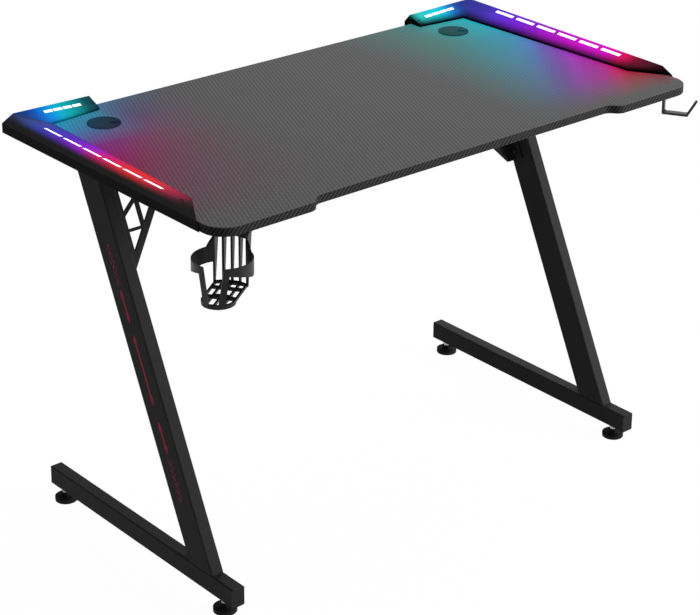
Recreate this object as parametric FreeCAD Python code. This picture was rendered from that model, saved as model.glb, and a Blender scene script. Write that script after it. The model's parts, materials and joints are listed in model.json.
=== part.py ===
import FreeCAD, Part
import math
import os

# Gaming desk: a carbon-look board on two leaning Z-shaped legs, with a light housing on each
# side of the board, two cable grommets, a cup holder and a headphone hook.
# Millimetres. +X is the sitter's right, +Y the back edge, +Z up. Each piece is drawn about the
# middle of the board, with zero height on the floor. The finished desk is then moved so that the
# origin lies under the middle of its whole outline, cup holder included.

# Board
DESK_WIDTH = 1100.0
DESK_DEPTH = 600.0
DESK_HEIGHT = 750.0
BOARD_THICKNESS = 16.0
CORNER_RADIUS = 42.0
BACK_CORNER_RADIUS = 4.0
RECESS_DEPTH = 19.5
RECESS_WIDTH = 660.0
RECESS_EASE = 36.0
BOARD_EDGE_CHAMFER = 0.9

# Legs: base bar, leaning upright and top bar, all of one tube width
LEG_SPACING = 964.0
TUBE_WIDTH = 25.0
TUBE_WALL = 1.5
TUBE_ROUND = 2.5
BASE_HEIGHT = 36.0
BASE_LENGTH = 549.0
BASE_FRONT = 246.0
UPRIGHT_BREADTH = 60.0
UPRIGHT_LEAN_DEGREES = 25.6
UPRIGHT_TOE = 54.0
TOP_BAR_HEIGHT = 30.0
TOP_BAR_BACK_MARGIN = 48.0
TOP_BAR_FRONT = 200.0
CAP_FLANGE = 3.0
CAP_PLUG = 14.0
CAP_CORNER_SHARE = 0.6

# Crossbeam between the top bars, and the lattice gussets under it
BEAM_DEPTH = 40.0
BEAM_PLATE_THICKNESS = 3.0
BEAM_PLATE_EAR = 16.0
BEAM_BACK_MARGIN = 1.0
GUSSET_THICKNESS = 7.0
GUSSET_DROP = 221.0
GUSSET_REACH = 191.0
GUSSET_BLUNT = 19.0
GUSSET_SIDE_BAND = 38.0
GUSSET_TOP_BAND = 10.0
GUSSET_EDGE_BAND = 11.5
GUSSET_RIB = 6.0
GUSSET_POST_SHARE = 0.364
GUSSET_TIE_SHARE = 0.436
GUSSET_STAY_SHARES = (0.429, 0.655)
GUSSET_HOLE_RADIUS = 2.5
GUSSET_HOLE_SHARE = 0.212
GUSSET_FLANGE = 32.0
GUSSET_FLANGE_THICKNESS = 3.0
GUSSET_BOLT_SHARES = (0.155, 0.72)

# Levelling feet
FOOT_HEIGHT = 25.0
PAD_RADIUS = 21.0
PAD_HEIGHT = 8.0
PAD_HUB_FLATS = 18.0
PAD_HUB_HEIGHT = 16.0
COLLAR_FLATS = 13.0
STUD_RADIUS = 4.0
STUD_LENGTH = 17.0
NUT_FLATS = 12.0
NUT_LENGTH = 13.0
THREAD_CLEARANCE = 0.05
FOOT_FRONT_INSET = 35.0
FOOT_BACK_INSET = 27.0

# Cable grommets
GROMMET_X = 414.5
GROMMET_Y = 209.0
GROMMET_FLANGE_RADIUS = 30.0
GROMMET_FLANGE_HEIGHT = 2.2
GROMMET_SLEEVE_RADIUS = 26.5
GROMMET_SLEEVE_WALL = 2.5
GROMMET_SEAT_RADIUS = 27.5
GROMMET_SEAT_DEPTH = 1.4
COVER_GAP = 0.3
COVER_LUG_WALL = 2.0
COVER_LUG_WIDTH = 10.0
COVER_LUG_DROP = 9.0
COVER_LUG_TURNS = (60.0, 180.0, 300.0)
CABLE_MOUTH_WIDTH = 12.0
CABLE_MOUTH_DEPTH = 13.0
COVER_TURN_DEGREES = -40.0

# Light housings, measured from the edges of the board
HOUSING_WALL = 2.5
HOUSING_BACK_OVERHANG = 18.0
CREASE_HEIGHT = 1.2
RIDGE_HEIGHT = 23.0
RIDGE_INSET = 8.5
BACK_RIDGE_INSET = 2.0
LIP_HEIGHT = 5.0
LONG_ARM_WIDTH_BACK = 62.5
LONG_ARM_WIDTH_FRONT = 40.0
LONG_ARM_LENGTH = 547.0
SHORT_ARM_WIDTH_SIDE = 46.0
SHORT_ARM_WIDTH_END = 29.0
SHORT_ARM_LENGTH = 168.0
NOSE_CUT_DEGREES = 58.0
NOSE_TILT_DEGREES = 12.0
LONG_WINDOW_COUNT = 6
LONG_WINDOW_LENGTH = 48.5
LONG_WINDOW_WIDTH = 7.2
LONG_WINDOW_PITCH = 58.2
LONG_WINDOW_INSET = 17.0
LONG_ROW_FROM_BACK = 260.0
SHORT_WINDOW_COUNT = 4
SHORT_WINDOW_LENGTH = 17.0
SHORT_WINDOW_WIDTH = 6.4
SHORT_WINDOW_PITCH = 19.6
SHORT_WINDOW_INSET = 13.2
SHORT_ROW_FROM_SIDE = 102.0
LENS_PLATE = 2.0
LENS_MARGIN = 2.4
LENS_CLEARANCE = 0.15
LED_GAP = 0.3
LED_CHIP = 5.0
LED_CHIP_HEIGHT = 1.5
LED_BOARD = 1.0
LED_BOARD_MARGIN = 1.2
BOSS_HALF = 5.0
BOSS_SEAT = 7.0
FRONT_SCREW_FROM_NOSE = 58.0
INLET_WIDTH = 9.0
INLET_HEIGHT = 3.4
INLET_DEPTH = 6.2
INLET_SHELL = 0.4
INLET_TONGUE = 0.7
INLET_FROM_SIDE = 120.0
INLET_BELOW_TOP = 7.5

# Screws and bolts
SMALL_ROUND_SIDES = 8
HEX_SIDES = 6
SCREW_RADIUS = 1.9
SCREW_HEAD_RADIUS = 3.6
SCREW_HEAD_HEIGHT = 2.4
SCREW_BITE = 11.0
SCREW_CLEARANCE = 0.1
DRIVER_HOLE_RADIUS = 5.0
DESK_SCREW_SHARES = (0.12, 0.55)
BOLT_RADIUS = 3.0
BOLT_HEAD_FLATS = 10.0
BOLT_HEAD_HEIGHT = 4.0
BOLT_END = 6.0

# Cup holder at the front left corner, turned about its own upright axis
CUP_X = 546.0
CUP_Y = 303.0
CUP_TURN_DEGREES = 35.0
CUP_RADIUS = 49.0
CUP_WALL = 2.6
CUP_DROP = 91.0
CUP_ARM_DROP = 26.0
CUP_ARM_HEIGHT = 27.0
CUP_ARM_TIP_HEIGHT = 12.0
CUP_FAIRING = 16.0
CUP_BACK_HALF_DEGREES = 36.0
CUP_MOUTH_HALF_DEGREES = 27.0
CUP_SLAT_COUNT = 5
CUP_SLAT_WIDTH = 3.6
CUP_RIB_DEPTH = 12.0
CUP_RAIL = 5.0
CUP_FLANGE = 4.0
CUP_FLANGE_REACH = 34.0
CUP_FLANGE_HALF_WIDTH = 30.0
CUP_FLANGE_ROUND = 6.0
CUP_SCREW_SPREAD = 38.0
CUP_SCREW_INSET = 7.0
CUP_STRUT_WIDTH = 10.5
CUP_FLOOR_RADIUS = 27.5
CUP_FLOOR_SHIFT = 22.0
CUP_FLOOR_THICKNESS = 4.0
CUP_FLOOR_LIP = 2.5
CUP_FLOOR_BAND = 4.0
CUP_FLOOR_ROW_SHARES = ((0.06, 0.22), (0.29, 0.58), (0.66, 0.94))

# Headphone hook: one bent strap under the front right corner
HOOK_X = 500.0
HOOK_Y = 275.0
HOOK_TURN_DEGREES = 58.7
HOOK_WIDTH = 14.0
HOOK_THICKNESS = 4.5
HOOK_BASE = 46.0
HOOK_DROP = 33.5
HOOK_RUN = 45.0
HOOK_TIP_RISE = 28.5
HOOK_TIP_RUN = 16.0
HOOK_BEND = 2.5
HOOK_TIP_ROUND = 5.0
HOOK_SCREW_SHARES = (0.3, 0.78)

# Cutters and half-spaces reach this far past what they cut
OVERRUN = 20.0
SPAN = 4000.0

# Directions closer than this share of a right angle count as parallel
SLIGHT_SHARE = 0.01

# Derived heights, places and directions
V = FreeCAD.Vector
ORIGIN = V(0, 0, 0)
X_AXIS = V(1, 0, 0)
Y_AXIS = V(0, 1, 0)
Z_AXIS = V(0, 0, 1)
BOARD_UNDER = DESK_HEIGHT - BOARD_THICKNESS
BASE_TOP = FOOT_HEIGHT + BASE_HEIGHT
FRAME_UNDER = BOARD_UNDER - TOP_BAR_HEIGHT
LEG_X = LEG_SPACING / 2
LEG_INNER_X = LEG_X - TUBE_WIDTH / 2
LEAN = math.radians(UPRIGHT_LEAN_DEGREES)
LEAN_AXIS = V(0, math.sin(LEAN), math.cos(LEAN))
UPRIGHT_SPAN = UPRIGHT_BREADTH / math.cos(LEAN)
UPRIGHT_FRONT_Y = UPRIGHT_TOE - BASE_FRONT
UPRIGHT_TOP_BACK_Y = UPRIGHT_FRONT_Y + (FRAME_UNDER - BASE_TOP) * math.tan(LEAN) + UPRIGHT_SPAN
GUSSET_HEIGHT = GUSSET_DROP / math.cos(LEAN)
GUSSET_TOP_V = (FRAME_UNDER - BASE_TOP + UPRIGHT_BREADTH * math.sin(LEAN)) / math.cos(LEAN)
GUSSET_TIP_V = GUSSET_TOP_V - GUSSET_HEIGHT
BEAM_FRONT_Y = UPRIGHT_TOP_BACK_Y - BEAM_BACK_MARGIN - BEAM_DEPTH
BEAM_PLATE_BACK_Y = BEAM_FRONT_Y + BEAM_DEPTH + BEAM_PLATE_EAR
TOP_BAR_LENGTH = TOP_BAR_FRONT + BEAM_PLATE_BACK_Y + TOP_BAR_BACK_MARGIN
FOOT_PLACES = {
    "front": FOOT_FRONT_INSET - BASE_FRONT,
    "back": BASE_LENGTH - BASE_FRONT - FOOT_BACK_INSET,
}
BOARD_SIDE_X = DESK_WIDTH / 2
BOARD_BACK_Y = DESK_DEPTH / 2
HOUSING_SIDE_X = BOARD_SIDE_X + HOUSING_WALL
HOUSING_BACK_Y = BOARD_BACK_Y + HOUSING_BACK_OVERHANG
RIDGE_X = BOARD_SIDE_X - RIDGE_INSET
RIDGE_Y = BOARD_BACK_Y - BACK_RIDGE_INSET
RIDGE_Z = DESK_HEIGHT + RIDGE_HEIGHT
CREASE_Z = DESK_HEIGHT + CREASE_HEIGHT
LIP_Z = DESK_HEIGHT + LIP_HEIGHT
HOUSING_NOSE_Y = BOARD_BACK_Y - LONG_ARM_LENGTH
SHORT_END_Y = BOARD_BACK_Y - SHORT_ARM_WIDTH_END
SHORT_END_X = BOARD_SIDE_X - SHORT_ARM_LENGTH
SCREW_HOLE_RADIUS = SCREW_RADIUS + SCREW_CLEARANCE
HOUSING_SCREWS = (
    (RIDGE_X - BOSS_HALF, RIDGE_Y - BOSS_HALF),
    (RIDGE_X - BOSS_HALF / 2, HOUSING_NOSE_Y + FRONT_SCREW_FROM_NOSE),
    (SHORT_END_X + BOSS_HALF + HOUSING_WALL / 2, (RIDGE_Y + SHORT_END_Y) / 2),
)
CUP_UNDER = BOARD_UNDER - CUP_FLANGE
CUP_FLANGE_END = CUP_RADIUS + CUP_FLANGE_REACH
HOOK_MIDDLE = BOARD_UNDER - HOOK_THICKNESS / 2
OUTLINE_MIDDLE = V(
    (HOUSING_SIDE_X - CUP_X - CUP_RADIUS) / 2,
    (HOUSING_BACK_Y - CUP_Y - CUP_RADIUS) / 2,
    0,
)


def box(x0, x1, y0, y1, z0, z1):
    """A block between two corners."""
    return Part.makeBox(x1 - x0, y1 - y0, z1 - z0, V(x0, y0, z0))


def cylinder(radius, start, direction, length):
    """A round bar from a start point along a direction."""
    return Part.makeCylinder(radius, length, start, direction)


def ring_corners(radius, sides, x, z):
    """The corners of a level many-sided ring about a point of the XZ plane."""
    angles = [2 * math.pi * k / sides for k in range(sides)]
    return [V(x + radius * math.cos(a), radius * math.sin(a), z) for a in angles]


def faceted_bar(flats, sides, start, direction, length):
    """A bar with flat sides, measured across its flats."""
    corner_radius = flats / 2 / math.cos(math.pi / sides)
    bar = prism(ring_corners(corner_radius, sides, 0, 0), V(0, 0, length))
    bar.Placement = FreeCAD.Placement(start, FreeCAD.Rotation(Z_AXIS, direction))
    return bar


def small_round(radius, start, direction, length):
    """A screw-sized round bar or hole, drawn with few sides."""
    return faceted_bar(2 * radius, SMALL_ROUND_SIDES, start, direction, length)


def prism(corners, sweep):
    """A flat outline through the corners, swept along a vector."""
    outline = Part.makePolygon(corners + [corners[0]])
    return Part.Face(outline).extrude(sweep)


def fused(shapes):
    """One solid from touching shapes, with seams between flush faces taken out."""
    whole = shapes[0]
    if len(shapes) > 1:
        whole = shapes[0].fuse(shapes[1:])
    return whole.removeSplitter()


def common(shapes):
    """What all the shapes share."""
    shared = shapes[0]
    for other in shapes[1:]:
        shared = shared.common(other)
    return shared


def mirrored(shape):
    """The same piece on the other side of the desk."""
    return shape.mirror(ORIGIN, X_AXIS)


def half_space(point, normal):
    """A great block that ends at a plane, on the side that the normal points away from."""
    block = box(-SPAN / 2, SPAN / 2, -SPAN / 2, SPAN / 2, -SPAN, 0)
    block.Placement = FreeCAD.Placement(point, FreeCAD.Rotation(Z_AXIS, normal))
    return block


def rounded_rectangle(width, height, radius):
    """A rounded rectangle about the origin, in the XY plane."""
    x = width / 2
    y = height / 2
    inset = radius * (1 - math.cos(math.radians(45)))
    edges = []
    for sx, sy in ((1, 1), (-1, 1), (-1, -1), (1, -1)):
        ends = [V(sx * x, sy * (y - radius), 0), V(sx * (x - radius), sy * y, 0)]
        if sx * sy < 0:
            ends.reverse()
        middle = V(sx * (x - inset), sy * (y - inset), 0)
        if edges:
            edges.append(Part.LineSegment(edges[-1].Vertexes[-1].Point, ends[0]).toShape())
        edges.append(Part.Arc(ends[0], middle, ends[1]).toShape())
    edges.append(Part.LineSegment(edges[-1].Vertexes[-1].Point, edges[0].Vertexes[0].Point).toShape())
    return Part.Wire(edges)


def tube(width, height, length):
    """A rectangular tube with rounded outer corners, along +Z."""
    rod = Part.Face(rounded_rectangle(width, height, TUBE_ROUND)).extrude(V(0, 0, length))
    x = width / 2 - TUBE_WALL
    y = height / 2 - TUBE_WALL
    return rod.cut(box(-x, x, -y, y, 0, length))


def cut_corner_block(x, y, z0, z1, cut):
    """A block about the Z axis whose upright edges are cut at 45 degrees."""
    block = box(-x, x, -y, y, z0, z1)
    edges = [e for e in block.Edges if e.tangentAt(e.FirstParameter).cross(Z_AXIS).Length < SLIGHT_SHARE]
    return block.makeChamfer(cut, edges)


def lay_along_y(shape, start):
    """Turns a shape built along +Z so that it runs towards the front from a start point."""
    shape.Placement = FreeCAD.Placement(start, FreeCAD.Rotation(X_AXIS, Z_AXIS, -Y_AXIS, "ZXY"))
    return shape


def lean_placement(x):
    """The frame of a leaning upright: X across, then through its breadth, then along its lean."""
    turn = FreeCAD.Rotation(X_AXIS, V(0, math.cos(LEAN), -math.sin(LEAN)), LEAN_AXIS, "ZXY")
    return FreeCAD.Placement(V(x, UPRIGHT_FRONT_Y, BASE_TOP), turn)


def screw(head_seat, direction, grip):
    """A pan-head screw: its head lies behind the seat, its shank passes the grip and bites."""
    head = small_round(SCREW_HEAD_RADIUS, head_seat, -direction, SCREW_HEAD_HEIGHT)
    shank = small_round(SCREW_RADIUS, head_seat, direction, grip + SCREW_BITE)
    return fused([head, shank])


def screw_hole(entry, direction, depth):
    """The hole that a screw passes or bites into."""
    return small_round(SCREW_HOLE_RADIUS, entry, direction, depth + SCREW_CLEARANCE)


def board_screw_places():
    """Where screws bite into the board from below and from above."""
    below = [(LEG_X, y) for y in desk_screw_ys()]
    below += [(-x, y) for x, y in below]
    below += [(p.x, p.y) for p in cup_screw_places() + hook_screw_places()]
    above = [(side * x, y) for side in (1, -1) for x, y in HOUSING_SCREWS]
    return below, above


def recess_curve(side):
    """One S-shaped run from the front edge into the recess: two equal tangent arcs."""
    front = -DESK_DEPTH / 2
    outer_x = side * (RECESS_WIDTH / 2 + RECESS_EASE)
    radius = (RECESS_EASE ** 2 + RECESS_DEPTH ** 2) / (4 * RECESS_DEPTH)
    half_turn = math.asin(RECESS_EASE / (2 * radius)) / 2
    step_x = side * radius * math.sin(half_turn)
    step_y = radius * (1 - math.cos(half_turn))
    start = V(outer_x, front, 0)
    middle = V(outer_x - side * RECESS_EASE / 2, front + RECESS_DEPTH / 2, 0)
    end = V(outer_x - side * RECESS_EASE, front + RECESS_DEPTH, 0)
    first = Part.Arc(start, V(start.x - step_x, start.y + step_y, 0), middle)
    second = Part.Arc(middle, V(end.x + step_x, end.y - step_y, 0), end)
    return [first, second], start, end


def corner_curve(x, y, radius, order):
    """A rounded corner of the board, run from the side to the end or the other way."""
    sx = math.copysign(1, x)
    sy = math.copysign(1, y)
    inset = radius * (1 - math.cos(math.radians(45)))
    ends = [V(x, y - sy * radius, 0), V(x - sx * radius, y, 0)]
    ends = ends[::order]
    return Part.Arc(ends[0], V(x - sx * inset, y - sy * inset, 0), ends[1]), ends


def board_outline():
    """The board's outline: large front corners, square back, a shallow recess for the sitter."""
    x = DESK_WIDTH / 2
    y = DESK_DEPTH / 2
    right_front, right_ends = corner_curve(x, -y, CORNER_RADIUS, -1)
    right_back, right_back_ends = corner_curve(x, y, BACK_CORNER_RADIUS, 1)
    left_back, left_back_ends = corner_curve(-x, y, BACK_CORNER_RADIUS, -1)
    left_front, left_ends = corner_curve(-x, -y, CORNER_RADIUS, 1)
    right_s, right_start, right_end = recess_curve(1)
    left_s, left_start, left_end = recess_curve(-1)
    curves = [
        left_front, Part.LineSegment(left_ends[1], left_start), left_s[0], left_s[1],
        Part.LineSegment(left_end, right_end), right_s[1], right_s[0],
        Part.LineSegment(right_start, right_ends[0]), right_front,
        Part.LineSegment(right_ends[1], right_back_ends[0]), right_back,
        Part.LineSegment(right_back_ends[1], left_back_ends[0]), left_back,
        Part.LineSegment(left_back_ends[1], left_ends[0]),
    ]
    return Part.Wire(Part.__sortEdges__([c.toShape() for c in curves]))


def desktop():
    """The board, with its eased edges, grommet holes and screw holes."""
    board = Part.Face(board_outline()).extrude(V(0, 0, BOARD_THICKNESS))
    board.translate(V(0, 0, BOARD_UNDER))
    rims = []
    for face in board.Faces:
        if abs(face.normalAt(0, 0).z) > math.cos(LEAN):
            rims += face.OuterWire.Edges
    board = board.makeChamfer(BOARD_EDGE_CHAMFER, rims)
    holes = []
    for side in (1, -1):
        start = V(side * GROMMET_X, GROMMET_Y, BOARD_UNDER - OVERRUN)
        radius = GROMMET_SLEEVE_RADIUS + SCREW_CLEARANCE
        holes.append(cylinder(radius, start, Z_AXIS, BOARD_THICKNESS + 2 * OVERRUN))
    below, above = board_screw_places()
    for x, y in below:
        holes.append(screw_hole(V(x, y, BOARD_UNDER), Z_AXIS, SCREW_BITE))
    for x, y in above:
        holes.append(screw_hole(V(x, y, DESK_HEIGHT), -Z_AXIS, SCREW_BITE))
    return board.cut(holes)


def desk_screw_ys():
    """Where the top bars are screwed to the board, from front to back."""
    return [share * TOP_BAR_LENGTH - TOP_BAR_FRONT for share in DESK_SCREW_SHARES]


def base_bar():
    """The tube on the floor side of a leg, with a hole for each foot's nut."""
    start = V(LEG_X, BASE_LENGTH - BASE_FRONT, FOOT_HEIGHT + BASE_HEIGHT / 2)
    bar = lay_along_y(tube(TUBE_WIDTH, BASE_HEIGHT, BASE_LENGTH), start)
    holes = []
    for y in FOOT_PLACES.values():
        low = V(LEG_X, y, FOOT_HEIGHT - TUBE_WALL)
        holes.append(faceted_bar(NUT_FLATS + 2 * SCREW_CLEARANCE, HEX_SIDES, low, Z_AXIS, 3 * TUBE_WALL))
    return bar.cut(holes)


def upright():
    """The leaning tube from the base bar up to the top bar, cut level at both ends, with bolt holes."""
    length = (FRAME_UNDER - BASE_TOP) / math.cos(LEAN)
    post = tube(TUBE_WIDTH, UPRIGHT_BREADTH, length + 2 * UPRIGHT_SPAN)
    post.translate(V(0, UPRIGHT_BREADTH / 2, -UPRIGHT_SPAN))
    post.Placement = lean_placement(LEG_X).multiply(post.Placement)
    level = box(-SPAN / 2, SPAN / 2, -SPAN / 2, SPAN / 2, BASE_TOP, FRAME_UNDER)
    return post.common(level).cut([bolt_hole(place) for place in gusset_bolt_places()])


def top_bar():
    """The tube under the board, with driver holes below the screws and holes for the beam bolts."""
    start = V(LEG_X, TOP_BAR_LENGTH - TOP_BAR_FRONT, BOARD_UNDER - TOP_BAR_HEIGHT / 2)
    bar = lay_along_y(tube(TUBE_WIDTH, TOP_BAR_HEIGHT, TOP_BAR_LENGTH), start)
    holes = []
    for y in desk_screw_ys():
        top = V(LEG_X, y, BOARD_UNDER - 2 * TUBE_WALL)
        holes.append(small_round(SCREW_HOLE_RADIUS, top, Z_AXIS, 3 * TUBE_WALL))
        low = V(LEG_X, y, FRAME_UNDER - TUBE_WALL)
        holes.append(small_round(DRIVER_HOLE_RADIUS, low, Z_AXIS, 3 * TUBE_WALL))
    holes += [bolt_hole(place) for place in bolt_places()]
    return bar.cut(holes)


def end_cap(height):
    """A moulded cap that closes a tube's end, built with its flange from zero to +Z."""
    flange = cut_corner_block(TUBE_WIDTH / 2, height / 2, 0, CAP_FLANGE, TUBE_ROUND * CAP_CORNER_SHARE)
    x = TUBE_WIDTH / 2 - TUBE_WALL - SCREW_CLEARANCE
    y = height / 2 - TUBE_WALL - SCREW_CLEARANCE
    plug = box(-x, x, -y, y, -CAP_PLUG, 0)
    hollow = box(CAP_FLANGE - x, x - CAP_FLANGE, CAP_FLANGE - y, y - CAP_FLANGE, -CAP_PLUG, 0)
    return fused([flange, plug.cut(hollow)])


def tube_caps():
    """The four caps of one leg: both ends of the base bar and of the top bar."""
    caps = {}
    ends = {
        "base_cap": (BASE_HEIGHT, FOOT_HEIGHT + BASE_HEIGHT / 2, -BASE_FRONT, BASE_LENGTH),
        "top_cap": (TOP_BAR_HEIGHT, BOARD_UNDER - TOP_BAR_HEIGHT / 2, -TOP_BAR_FRONT, TOP_BAR_LENGTH),
    }
    for name, (height, z, front, length) in ends.items():
        caps["front_" + name] = lay_along_y(end_cap(height), V(LEG_X, front, z))
        back = lay_along_y(end_cap(height), ORIGIN)
        back.rotate(ORIGIN, Z_AXIS, 180)
        back.translate(V(LEG_X, front + length, z))
        caps["back_" + name] = back
    return caps


def bolt_places():
    """Where the crossbeam is bolted to the top bar, on the bar's inner face."""
    middle = BOARD_UNDER - TOP_BAR_HEIGHT / 2
    front = BEAM_FRONT_Y - BEAM_PLATE_EAR / 2
    back = BEAM_PLATE_BACK_Y - BEAM_PLATE_EAR / 2
    return [V(LEG_INNER_X, y, middle) for y in (front, back)]


def crossbeam():
    """The tube between the legs, with a bolted plate welded on each end."""
    plate_x = LEG_INNER_X - BEAM_PLATE_THICKNESS
    bar = tube(TOP_BAR_HEIGHT, BEAM_DEPTH, 2 * plate_x)
    middle = V(-plate_x, BEAM_FRONT_Y + BEAM_DEPTH / 2, BOARD_UNDER - TOP_BAR_HEIGHT / 2)
    bar.Placement = FreeCAD.Placement(middle, FreeCAD.Rotation(-Z_AXIS, Y_AXIS, X_AXIS, "ZXY"))
    front = BEAM_FRONT_Y - BEAM_PLATE_EAR
    plate = box(plate_x, LEG_INNER_X, front, BEAM_PLATE_BACK_Y, FRAME_UNDER, BOARD_UNDER)
    plate = plate.cut([bolt_hole(place) for place in bolt_places()])
    return fused([bar, plate, mirrored(plate)])


def bolt_hole(place):
    """The hole for a bolt through a plate and the tube wall behind it, on the right side."""
    start = place - X_AXIS * OVERRUN / 2
    return small_round(BOLT_RADIUS + SCREW_CLEARANCE, start, X_AXIS, OVERRUN)


def hexagon_bolts(places, plate):
    """Bolts through a plate and a tube's inner wall, on both sides of the desk."""
    bolts = []
    for place in places:
        seat = place - X_AXIS * plate
        head = faceted_bar(BOLT_HEAD_FLATS, HEX_SIDES, seat, -X_AXIS, BOLT_HEAD_HEIGHT)
        bolt = fused([head, small_round(BOLT_RADIUS, seat, X_AXIS, plate + TUBE_WALL + BOLT_END)])
        bolts += [bolt, mirrored(bolt)]
    return Part.makeCompound(bolts)


def gusset_bolt_places():
    """Where a gusset's flange is bolted to the upright, on the upright's inner face."""
    depth = UPRIGHT_BREADTH - GUSSET_FLANGE / 2
    frame = lean_placement(LEG_INNER_X)
    return [frame.multVec(V(0, depth, GUSSET_TIP_V + share * GUSSET_HEIGHT)) for share in GUSSET_BOLT_SHARES]


def gusset():
    """The lattice plate that braces an upright to the crossbeam, with a flange bolted to the upright.

    It is drawn in the upright's leaning frame for the left leg, flush with the upright's back: u runs
    towards the middle of the desk, v along the lean.
    """
    front = UPRIGHT_BREADTH - GUSSET_THICKNESS
    slope = GUSSET_REACH / GUSSET_HEIGHT
    top_v = GUSSET_HEIGHT + GUSSET_THICKNESS
    across = V(0, GUSSET_THICKNESS, 0)
    corners = [V(0, front, GUSSET_BLUNT), V(0, front, top_v), V(slope * top_v, front, top_v),
               V(slope * GUSSET_BLUNT, front, GUSSET_BLUNT)]
    plate = prism(corners, across).cut(gusset_openings(front, slope, across))
    hole_at = V(slope * GUSSET_HOLE_SHARE * GUSSET_HEIGHT / 2, front, GUSSET_HOLE_SHARE * GUSSET_HEIGHT)
    plate = plate.cut(small_round(GUSSET_HOLE_RADIUS, hole_at, Y_AXIS, GUSSET_THICKNESS))
    flange_front = UPRIGHT_BREADTH - GUSSET_FLANGE
    flange = box(0, GUSSET_FLANGE_THICKNESS, flange_front, UPRIGHT_BREADTH, GUSSET_BLUNT, top_v)
    plate = fused([plate, flange])
    plate.translate(V(0, 0, GUSSET_TIP_V))
    plate.Placement = lean_placement(-LEG_INNER_X).multiply(plate.Placement)
    level = box(-SPAN / 2, SPAN / 2, -SPAN / 2, SPAN / 2, BASE_TOP, FRAME_UNDER)
    plate = mirrored(plate.common(level))
    return plate.cut([bolt_hole(place) for place in gusset_bolt_places()])


def gusset_openings(front, slope, across):
    """The open fields of the lattice, between its bands, post, tie and stay."""
    band = GUSSET_EDGE_BAND * math.sqrt(1 + slope ** 2)
    high_v = GUSSET_HEIGHT - GUSSET_TOP_BAND
    field = [
        V(GUSSET_SIDE_BAND, front, (GUSSET_SIDE_BAND + band) / slope),
        V(GUSSET_SIDE_BAND, front, high_v),
        V(high_v * slope - band, front, high_v),
    ]
    post_u = GUSSET_POST_SHARE * GUSSET_REACH
    tie_v = GUSSET_TIE_SHARE * GUSSET_HEIGHT
    low_v, up_v = (share * GUSSET_HEIGHT for share in GUSSET_STAY_SHARES)
    half = GUSSET_RIB / 2
    ribs = [
        box(post_u - half, post_u + half, front, UPRIGHT_BREADTH, 0, GUSSET_HEIGHT),
        box(0, post_u, front, UPRIGHT_BREADTH, tie_v - half, tie_v + half),
        bar_between(V(0, front, low_v), V(post_u, front, up_v), GUSSET_RIB, across),
    ]
    return prism(field, across).cut(ribs)


def bar_between(start, end, width, sweep):
    """A flat bar centred on the line from start to end, with square ends, swept along a vector."""
    along = (end - start).normalize()
    across = along.cross(V(sweep).normalize()) * (width / 2)
    return prism([start - across, end - across, end + across, start + across], sweep)


def foot_pad(y):
    """A round moulded pad with a hexagon hub that the stud's collar stands on."""
    middle = V(LEG_X, y, 0)
    disc = cylinder(PAD_RADIUS, middle, Z_AXIS, PAD_HEIGHT)
    hub = faceted_bar(PAD_HUB_FLATS, HEX_SIDES, middle, Z_AXIS, PAD_HUB_HEIGHT)
    return fused([disc, hub])


def foot_stud(y):
    """The threaded stud of a foot, with the hexagon collar that a spanner turns."""
    collar_low = V(LEG_X, y, PAD_HUB_HEIGHT)
    collar = faceted_bar(COLLAR_FLATS, HEX_SIDES, collar_low, Z_AXIS, FOOT_HEIGHT - PAD_HUB_HEIGHT)
    rod = cylinder(STUD_RADIUS, collar_low, Z_AXIS, FOOT_HEIGHT - PAD_HUB_HEIGHT + STUD_LENGTH)
    return fused([collar, rod])


def foot_nuts():
    """Hexagon rivet nuts flush in the undersides of the base bars, which the studs screw into."""
    nuts = []
    for y in FOOT_PLACES.values():
        low = V(LEG_X, y, FOOT_HEIGHT)
        nut = faceted_bar(NUT_FLATS, HEX_SIDES, low, Z_AXIS, NUT_LENGTH)
        nut = nut.cut(cylinder(STUD_RADIUS + THREAD_CLEARANCE, low, Z_AXIS, NUT_LENGTH))
        nuts += [nut, mirrored(nut)]
    return Part.makeCompound(nuts)


def desktop_screws():
    """Screws from inside the top bar up into the board."""
    screws = []
    for y in desk_screw_ys():
        screws.append(screw(V(LEG_X, y, BOARD_UNDER - TUBE_WALL), Z_AXIS, TUBE_WALL))
    return Part.makeCompound(screws)


def grommet_ring():
    """The sleeve and flange that line a cable hole, with a seat for the cover."""
    low = V(GROMMET_X, GROMMET_Y, BOARD_UNDER)
    top = V(GROMMET_X, GROMMET_Y, DESK_HEIGHT)
    flange = cylinder(GROMMET_FLANGE_RADIUS, top, Z_AXIS, GROMMET_FLANGE_HEIGHT)
    sleeve = cylinder(GROMMET_SLEEVE_RADIUS, low, Z_AXIS, BOARD_THICKNESS)
    ring = fused([flange, sleeve])
    bore = GROMMET_SLEEVE_RADIUS - GROMMET_SLEEVE_WALL
    ring = ring.cut(cylinder(bore, low, Z_AXIS, BOARD_THICKNESS + GROMMET_FLANGE_HEIGHT))
    seat = cover_seat()
    return ring.cut(cylinder(GROMMET_SEAT_RADIUS, seat, Z_AXIS, GROMMET_SEAT_DEPTH))


def grommet_rings():
    """The ring on each side of the desk."""
    ring = grommet_ring()
    return Part.makeCompound([ring, mirrored(ring)])


def cover_seat():
    """The middle of the ledge that a grommet cover turns on."""
    return V(GROMMET_X, GROMMET_Y, DESK_HEIGHT + GROMMET_FLANGE_HEIGHT - GROMMET_SEAT_DEPTH)


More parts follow.
